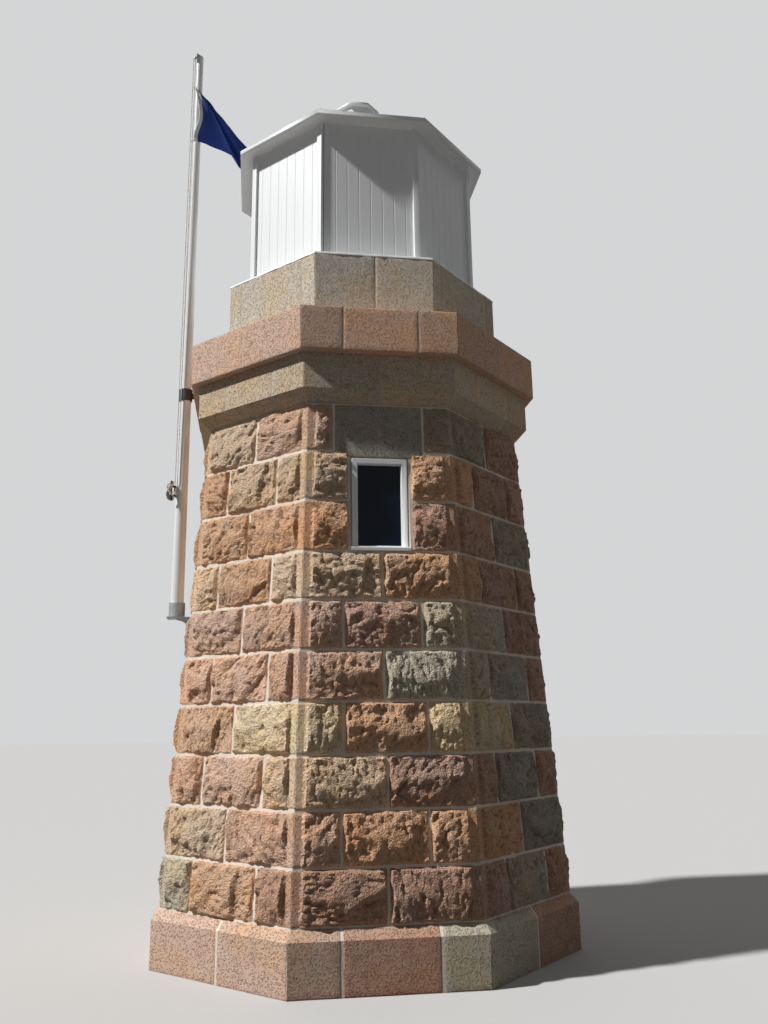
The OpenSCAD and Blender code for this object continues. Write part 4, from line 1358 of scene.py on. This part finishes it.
class LIGHT_OT_pole(bpy.types.Operator):
    """Finishes the flagpole, its bracket, collar, clamp, truck and cleat, and bolts them on"""

    bl_idname = "harbour_light.pole"
    bl_label = "Flagpole and ironwork"

    def execute(self, context):
        settings = context.scene.light_pole
        coat("flagpole", paint_finish("pole_paint", tuple(settings.paint), (14.0, 14.0, 0.4), 0.08, 0.22))
        steel = finish("galvanised_steel", metal_finish, tuple(settings.steel), 0.42, 0.16)
        iron = ironwork(settings)
        worked("pole_bracket", "galvanised", steel, 0.0012)
        worked("pole_truck", "galvanised", steel, 0.0010)
        worked("pole_collar", "galvanised", steel, 0.0018)
        worked("pole_clamp", "dark_metal", iron, 0.0015)
        coat("halyard_cleat", iron)
        plate, step = 0.0065, 0.095
        foot = low_z("pole_bracket") + 0.030
        out = (wall_out(foot) + wall_out(foot + step)) / 2 + plate
        bolted("bracket_bolts", 0.0115, 0.011, (2, 0.084), (2, step), out, foot, LEFT, steel)
        low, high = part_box("pole_clamp")
        foot, out = (low.z + high.z) / 2 - 0.030, -high.x + 0.009
        bolted("clamp_bolts", 0.0085, 0.009, (2, 0.060), (2, 0.060), out, foot, LEFT, steel)
        return {"FINISHED"}


def beside_pole(settings, points):
    """Points given across the halyard's lines, out from the pole's axis and up, as points of the frame."""
    low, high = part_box("flagpole")
    across, out, z = np.array(points, float).T
    turn = settings.line_turn
    x = (low.x + high.x) / 2 + across * math.cos(turn) - out * math.sin(turn)
    y = (low.y + high.y) / 2 - across * math.sin(turn) - out * math.cos(turn)
    return np.stack([x, y, z], axis=-1)


def evenly(points, step, passes):
    """A path's points spread evenly along it, and eased round its bends."""
    points = np.array(points, float)
    along = np.concatenate([[0], np.cumsum(np.linalg.norm(np.diff(points, axis=0), axis=1))])
    places = np.linspace(0, along[-1], int(along[-1] / step) + 1)
    points = np.stack([np.interp(places, along, axis) for axis in points.T], axis=1)
    for _ in range(passes):
        points[1:-1] = (points[:-2] + 2 * points[1:-1] + points[2:]) / 4
    return points


def path_mesh(name, points, closed=False):
    """A line through points, as the edges of a mesh."""
    mesh = bpy.data.meshes.new(name)
    edges = [(i, i + 1) for i in range(len(points) - 1)]
    if closed:
        edges.append((len(points) - 1, 0))
    mesh.from_pydata(np.asarray(points).tolist(), edges, [])
    return mesh


STRAND_SHARE = 1.08 / (1 + 2 / math.sqrt(3))


def followed(name, path, thickness, strands, lay, spacing, material, sides=6):
    """A rope or a rod along a path. A rope's strands lie round its middle and turn once in each lay."""
    radius = thickness / 2 * (1 if strands == 1 else STRAND_SHARE)
    sizes = {"Strands": strands, "Strand radius": radius, "Strand ring": thickness / 2 - radius}
    sizes |= {"Lay": lay, "Spacing": spacing, "Sides": sides}
    p = Pattern(name, sizes)
    curve = p.add("GeometryNodeMeshToCurve", {}, {"Mesh": p.given()})
    sockets = {"Curve": curve, "Length": p.size("Spacing")}
    curve = p.add("GeometryNodeResampleCurve", {"mode": "LENGTH"}, sockets)
    along = p.add("GeometryNodeSplineParameter", out=1)
    tilt = along / p.size("Lay") * math.tau
    curve = p.add("GeometryNodeSetCurveTilt", {}, {"Curve": curve, "Tilt": tilt})
    sockets = {"Resolution": p.size("Sides"), "Radius": p.size("Strand radius")}
    profile = p.add("GeometryNodeCurvePrimitiveCircle", {"mode": "RADIUS"}, sockets)
    if strands > 1:
        sockets = {"Vertices": p.size("Strands"), "Radius": p.size("Strand ring")}
        ring = p.add("GeometryNodeMeshCircle", {}, sockets)
        profile = p.add("GeometryNodeRealizeInstances", {}, {"Geometry": p.placed(ring, profile)})
    sockets = {"Curve": curve, "Profile Curve": profile, "Fill Caps": True}
    return p.grow(p.add("GeometryNodeCurveToMesh", {}, sockets), path, material, 60.0)


LAYER_UP, LAYER_OUT, LAYER_IN = 0.0045, 0.0036, 0.0035


def made_fast(settings, side, first_turn, turns):
    """The halyard's route from one of its lines down to the cleat: once round both posts, then in figures of
    eight under the horns and across the bar, each outside the one before."""
    low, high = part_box("halyard_cleat")
    middle = (low.z + high.z) / 2
    reach = (high.z - low.z) / 2
    d, posts = settings.rope, settings.post_gap / 2
    bend = settings.post / 2 + d / 2
    depth = settings.line_out - d / 2 - side * d / 2
    route = [(side * settings.line_gap / 2, settings.line_out, posts * z) for z in (5, 3.2, 2.2)]
    for place, z in ((1, 1), (1, 0), (1, -1), (0, -1), (-1, -1), (-1, 0), (-1, 1), (0, 1), (1, 1), (1, 0.2)):
        round_post = bend if place == 0 else 0
        depth += d * 0.10
        route.append((side * place * bend, depth, posts * z + round_post * z))
    under, over = settings.bar_out - settings.horn / 2 - d / 2, settings.bar_out + settings.horn / 2 + d / 2
    for turn in np.arange(0.125, turns, 1 / 32):
        layer = first_turn + turn
        angle = turn * math.tau
        rise = min(reach * 0.58 + layer * LAYER_UP, reach - d)
        wide = bend * 1.15 + layer * LAYER_OUT
        front = over + layer * LAYER_OUT
        back = under - (layer % 2) * LAYER_IN
        out = back + (front - back) * math.cos(angle) ** 2
        route.append((side * wide * math.sin(2 * angle), out, -rise * math.sin(angle)))
    return [(across, out, middle + z) for across, out, z in route]


class LIGHT_OT_halyard(bpy.types.Operator):
    """Reeves the halyard over its sheave and makes both its ends fast on the cleat"""

    bl_idname = "harbour_light.halyard"
    bl_label = "Halyard"

    def execute(self, context):
        settings = context.scene.light_pole
        rope = finish("halyard_line", rope_finish, tuple(settings.hemp))
        radius = settings.line_gap / 2
        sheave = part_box("halyard")[1].z - radius - settings.rope / 2
        bend = np.linspace(0, math.pi, 17)
        over = [(-radius * math.cos(a), settings.line_out, sheave + radius * math.sin(a)) for a in bend]
        first, second = made_fast(settings, -1, 0, 3.6), made_fast(settings, 1, 3.6, 3.4)
        foot, head = first[0][2], over[0][2]
        climb = np.linspace(foot, head, 4)[1:-1]
        up = [(-radius, settings.line_out, z) for z in climb]
        down = [(radius, settings.line_out, z) for z in climb[::-1]]
        route = evenly(beside_pole(settings, first[::-1] + up + over + down + second), 0.004, 5)
        path = path_mesh("halyard_line", route)
        line = followed("halyard_line", path, settings.rope, 3, settings.rope_lay, 0.006, rope)
        settle(line, "rope", "halyard")
        return {"FINISHED"}


FLAG_SEED = 5
FLAG_GRID = (72, 48)
CLOTH_THICKNESS = 0.0012
CLIP_THICKNESS = 0.0050
RELAX_FRAMES = 14


def evened(low, high, share):
    """A smooth step from low to high."""
    share = np.clip(share, 0, 1)
    return low + (high - low) * share * share * (3 - 2 * share)


def fan_of_folds(settings):
    """Directions, from the top corner of the hoist, of the cloth's rays: a cone that keeps every length on
    the cloth, gathered into folds below the upper edge and nearly flat beside the hoist."""
    rng = np.random.default_rng(FLAG_SEED)
    theta = np.linspace(0, math.pi / 2, 901)
    step = theta[1] - theta[0]
    gathered = evened(settings.gather, 0.86, (theta - 0.75) / 0.35)
    gathered *= (settings.lean - settings.droop) / (gathered.sum() * step)
    gathered = gathered.clip(0.18, 0.995)
    swing = np.linspace(0, 2.3, 120)
    wave = np.linspace(0, math.tau, 200, endpoint=False)
    kept = np.cos(swing[:, None] * np.sin(wave)).mean(axis=1)
    most = np.interp(gathered, kept[::-1], swing[::-1])
    stray = np.interp(theta, np.linspace(0, 1.6, 9), rng.uniform(-1, 1, 9))
    fold = evened(0.21, 0.52, (theta - 0.60) / 0.45) * (1 + 0.18 * stray)
    phase = np.cumsum(step / fold) * math.tau
    turn = most * np.sin(phase + 0.6)
    aside, down = 0.0, -settings.droop
    rays = []
    for angle in turn:
        rays.append((math.cos(aside) * math.cos(down), math.cos(aside) * math.sin(down), math.sin(aside)))
        down -= math.cos(angle) * step / math.cos(aside)
        aside += math.sin(angle) * step
    return theta, np.array(rays)


def trailed(settings, reach, aside):
    """Where the cloth is in plan: first past the pole, then away on its heading in one slow wave."""
    s = np.linspace(-0.1, 1.3, 1401)
    heading = evened(0, settings.heading, (s - 0.05) / 0.12)
    heading = heading + evened(0, 0.22, (s - 0.10) / 0.25) * np.sin((s - 0.12) * math.tau / 0.62)
    x, y = np.cumsum(np.cos(heading)) * 0.001, np.cumsum(np.sin(heading)) * 0.001
    start = np.searchsorted(s, 0)
    x, y = x - x[start], y - y[start]
    turn = np.interp(reach, s, heading)
    return np.interp(reach, s, x) + aside * np.sin(turn), np.interp(reach, s, y) - aside * np.cos(turn)


class LIGHT_OT_flag(bpy.types.Operator):
    """Hangs the flag by its two corners from the halyard, in folds, and lets the cloth settle"""

    bl_idname = "harbour_light.flag"
    bl_label = "Flag"

    def execute(self, context):
        settings = context.scene.light_flag
        pole = context.scene.light_pole
        line = beside_pole(pole, [(pole.line_gap / 2, pole.line_out, high_z("flag"))])[0]
        corner = line + np.array((settings.clip, 0, -0.006))
        theta, rays = fan_of_folds(settings)
        size = (settings.width, settings.height)
        across, down = (np.linspace(0, length, n + 1) for length, n in zip(size, FLAG_GRID))
        u, v = (grid.ravel() for grid in np.meshgrid(across, down))
        radius, angle = np.hypot(u, v), np.arctan2(v, u)
        ray = np.stack([np.interp(angle, theta, rays[:, i]) for i in range(3)], axis=1) * radius[:, None]
        # The lower corner is pulled in to its clip, and the cloth round it follows.
        foot = np.hypot(u, v - settings.height)
        pulled = np.array((0, -settings.hoist, 0)) - ray[foot.argmin()]
        ray += np.exp(-((foot / 0.22) ** 2))[:, None] * pulled
        # The upper edge sags between the halyard and the fly.
        sag = np.exp(-(((u - 0.22) / 0.16) ** 2)) * (u / 0.1).clip(0, 1) * (1 - v / settings.height)
        ray[:, 1] -= settings.sag * sag
        x, y = trailed(settings, ray[:, 0], ray[:, 2])
        points = np.stack([x, y, ray[:, 1]], axis=1) + corner
        n = len(across)
        firsts = np.add.outer(np.arange(len(down) - 1) * n, np.arange(n - 1)).ravel()
        faces = (firsts[:, None] + np.array((0, n, n + 1, 1))).tolist()
        held = [0, FLAG_GRID[1] * n]
        mesh = bpy.data.meshes.new("flag_cloth")
        mesh.from_pydata(points.tolist(), [], faces)
        cut = np.stack([u, v, u * 0], axis=1).astype(np.float32)
        mesh.attributes.new("cut", "FLOAT_VECTOR", "POINT").data.foreach_set("vector", cut.ravel())
        cloth = bpy.data.objects.new("flag_cloth", mesh)
        context.collection.objects.link(cloth)
        relax(context.scene, cloth, held)
        mesh = cloth.data
        mesh.materials.append(finish("flag_bunting", cloth_finish, tuple(settings.colour), settings.band))
        mesh.shade_smooth()
        thick = cloth.modifiers.new("thickness", "SOLIDIFY")
        thick.thickness = CLOTH_THICKNESS
        thick.offset = 0
        settle(cloth, "flag_cloth", "flag")
        hooks = [Vector(mesh.vertices[i].co) for i in held]
        clips = [snap_clip(pole, line, hook, number) for number, hook in enumerate(hooks, 1)]
        return {"FINISHED"}


def relax(scene, cloth, held):
    """Lets the cloth even out its lengths for a few frames, held by its two corners."""
    group = cloth.vertex_groups.new(name="held")
    group.add(held, 1.0, "REPLACE")
    cloth_modifier = cloth.modifiers.new("cloth", "CLOTH")
    physics = cloth_modifier.settings
    physics.vertex_group_mass = "held"
    physics.quality = 10
    physics.mass = 0.15
    physics.air_damping = 4.0
    physics.tension_stiffness = physics.compression_stiffness = 25
    physics.shear_stiffness = 12
    physics.bending_stiffness = 0.15
    physics.effector_weights.gravity = 0.03
    cloth_modifier.point_cache.frame_start = 1
    cloth_modifier.point_cache.frame_end = RELAX_FRAMES
    for frame_number in range(1, RELAX_FRAMES + 1):
        scene.frame_set(frame_number)
    settled = bpy.data.meshes.new_from_object(cloth.evaluated_get(bpy.context.evaluated_depsgraph_get()))
    cloth.modifiers.clear()
    cloth.vertex_groups.clear()
    cloth.data = settled
    scene.frame_set(1)


def snap_clip(pole, line, hook, number):
    """A long nylon ring that joins a corner of the flag to the halyard."""
    reach = hook.x - line[0]
    ring = [
        (line[0] + reach / 2 - math.cos(a) * (reach / 2 + 0.0085), line[1], hook.z + math.sin(a) * 0.011)
        for a in np.linspace(0, math.tau, 32, endpoint=False)
    ]
    nylon = finish("white_nylon", paint_finish, tuple(pole.nylon), (9.0, 9.0, 9.0), 0.05, 0.4)
    name = f"flag_clip_{number}"
    path = path_mesh(name, ring, closed=True)
    return settle(followed(name, path, CLIP_THICKNESS, 1, 1.0, 0.003, nylon, 8), "rope")


class LIGHT_OT_stage(bpy.types.Operator):
    """Sets out the pale floor, the lamps and the camera"""

    bl_idname = "harbour_light.stage"
    bl_label = "Stage"

    def execute(self, context):
        settings = context.scene.light_stage
        bpy.ops.mesh.primitive_plane_add(size=settings.floor)
        floor = context.object
        floor.name = "floor"
        floor.data.materials.append(floor_finish(settings))
        build_world(context.scene, settings)
        lamp = bpy.data.lights.new("key", "SUN")
        lamp.energy = settings.key
        lamp.angle = math.radians(3)
        key = bpy.data.objects.new("key", lamp)
        key.rotation_euler = Vector(SUN_FROM).to_track_quat("Z", "Y").to_euler()
        context.collection.objects.link(key)
        build_camera(context.scene)
        context.scene.view_settings.view_transform = "Standard"
        return {"FINISHED"}


SUN_FROM = (-0.81, -0.150, 0.86)
BEHIND = (0.30, 0.94, 0.15)
CAMERA_AT = (-0.806, -7.025, 1.493)
CAMERA_HEADING = math.radians(8.165)
CAMERA_PITCH = math.radians(13.60)
CAMERA_ROLL = math.radians(-0.73)
CAMERA_LENS = 31.42


def seen_rays(tree):
    """1 on the rays that show the stage to the camera, straight or in glass and metal, and 0 on others."""
    names = ("Is Camera Ray", "Is Glossy Ray", "Is Transmission Ray")
    camera, glossy, through = (tree.add("ShaderNodeLightPath", out=name) for name in names)
    mirrored = tree.add("ShaderNodeMath", {"operation": "MAXIMUM"}, {0: glossy, 1: through})
    return tree.add("ShaderNodeMath", {"operation": "MAXIMUM"}, {0: camera, 1: mirrored})


def floor_finish(settings):
    """A pale floor that keeps shadows and throws back only part of the light."""
    f = Finish("pale_floor")
    grey = (settings.bounce, settings.bounce, settings.bounce, 1)
    dull = f.add("ShaderNodeBsdfDiffuse", {}, {"Color": grey})
    pale = f.add("ShaderNodeBsdfDiffuse", {}, {"Color": (*settings.pale, 1)})
    shown = f.add("ShaderNodeMixShader", {}, {0: seen_rays(f), 1: dull, 2: pale})
    f.add("ShaderNodeOutputMaterial", {}, {"Surface": shown})
    return f.material


def build_camera(scene):
    """The camera where the photograph was taken from, at the height of a standing person's eyes."""
    camera = bpy.data.objects.new("camera", bpy.data.cameras.new("camera"))
    camera.data.lens = CAMERA_LENS
    turn = Matrix.Rotation(-CAMERA_HEADING, 4, "Z") @ Matrix.Rotation(math.pi / 2 + CAMERA_PITCH, 4, "X")
    camera.matrix_world = Matrix.Translation(CAMERA_AT) @ turn @ Matrix.Rotation(CAMERA_ROLL, 4, "Z")
    scene.collection.objects.link(camera)
    scene.camera = camera


def build_world(scene, settings):
    """Even light from all round, and a pale backdrop for the camera and for what glass and metal mirror."""
    world = bpy.data.worlds.new("studio")
    world.use_nodes = True
    world.node_tree.nodes.clear()
    tree = Tree(world.node_tree)
    sky = tree.add("ShaderNodeTexCoord", out=0)
    facing = tree.add("ShaderNodeVectorMath", {"operation": "DOT_PRODUCT"}, {0: sky, 1: BEHIND}, out=1)
    behind = tree.add("ShaderNodeMath", {"operation": "MAXIMUM"}, {0: facing, 1: 0.0}) * settings.behind
    light = tree.add("ShaderNodeBackground", {}, {"Color": (1, 1, 1, 1), "Strength": settings.fill + behind})
    pale = tree.add("ShaderNodeBackground", {}, {"Color": (*settings.backdrop, 1), "Strength": 1.0})
    shown = tree.add("ShaderNodeMixShader", {}, {0: seen_rays(tree), 1: light, 2: pale})
    tree.add("ShaderNodeOutputWorld", {}, {"Surface": shown})
    scene.world = world


class LIGHT_PT_panel(bpy.types.Panel):
    """Lists the steps that dress the building"""

    bl_label = "Harbour Light"
    bl_idname = "LIGHT_PT_panel"
    bl_space_type = "VIEW_3D"
    bl_region_type = "UI"
    bl_category = "Harbour Light"

    def draw(self, context):
        for step in STEPS:
            self.layout.operator(step.bl_idname)
        for name in SETTINGS:
            group = getattr(context.scene, name)
            box = self.layout.box()
            for prop in group.bl_rna.properties:
                if not prop.is_readonly and prop.identifier != "name":
                    box.prop(group, prop.identifier)


SETTINGS = {
    "light_stonework": StoneworkSettings,
    "light_joinery": JoinerySettings,
    "light_pole": PoleSettings,
    "light_flag": FlagSettings,
    "light_stage": StageSettings,
}
STEPS = [
    LIGHT_OT_walls,
    LIGHT_OT_dressed,
    LIGHT_OT_floors,
    LIGHT_OT_window,
    LIGHT_OT_door,
    LIGHT_OT_lantern,
    LIGHT_OT_pole,
    LIGHT_OT_halyard,
    LIGHT_OT_flag,
    LIGHT_OT_stage,
]


def register():
    for group in [*SETTINGS.values(), *STEPS, LIGHT_PT_panel]:
        bpy.utils.register_class(group)
    for name, group in SETTINGS.items():
        setattr(bpy.types.Scene, name, PointerProperty(type=group))


def unregister():
    for name in SETTINGS:
        delattr(bpy.types.Scene, name)
    for group in reversed([*SETTINGS.values(), *STEPS, LIGHT_PT_panel]):
        bpy.utils.unregister_class(group)


def main():
    """Runs every step."""
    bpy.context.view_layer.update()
    register()
    bpy.ops.harbour_light.walls()
    bpy.ops.harbour_light.dressed()
    bpy.ops.harbour_light.floors()
    bpy.ops.harbour_light.window()
    bpy.ops.harbour_light.door()
    bpy.ops.harbour_light.lantern()
    bpy.ops.harbour_light.pole()
    bpy.ops.harbour_light.halyard()
    bpy.ops.harbour_light.flag()
    bpy.ops.harbour_light.stage()


if __name__ == "__main__":
    main()
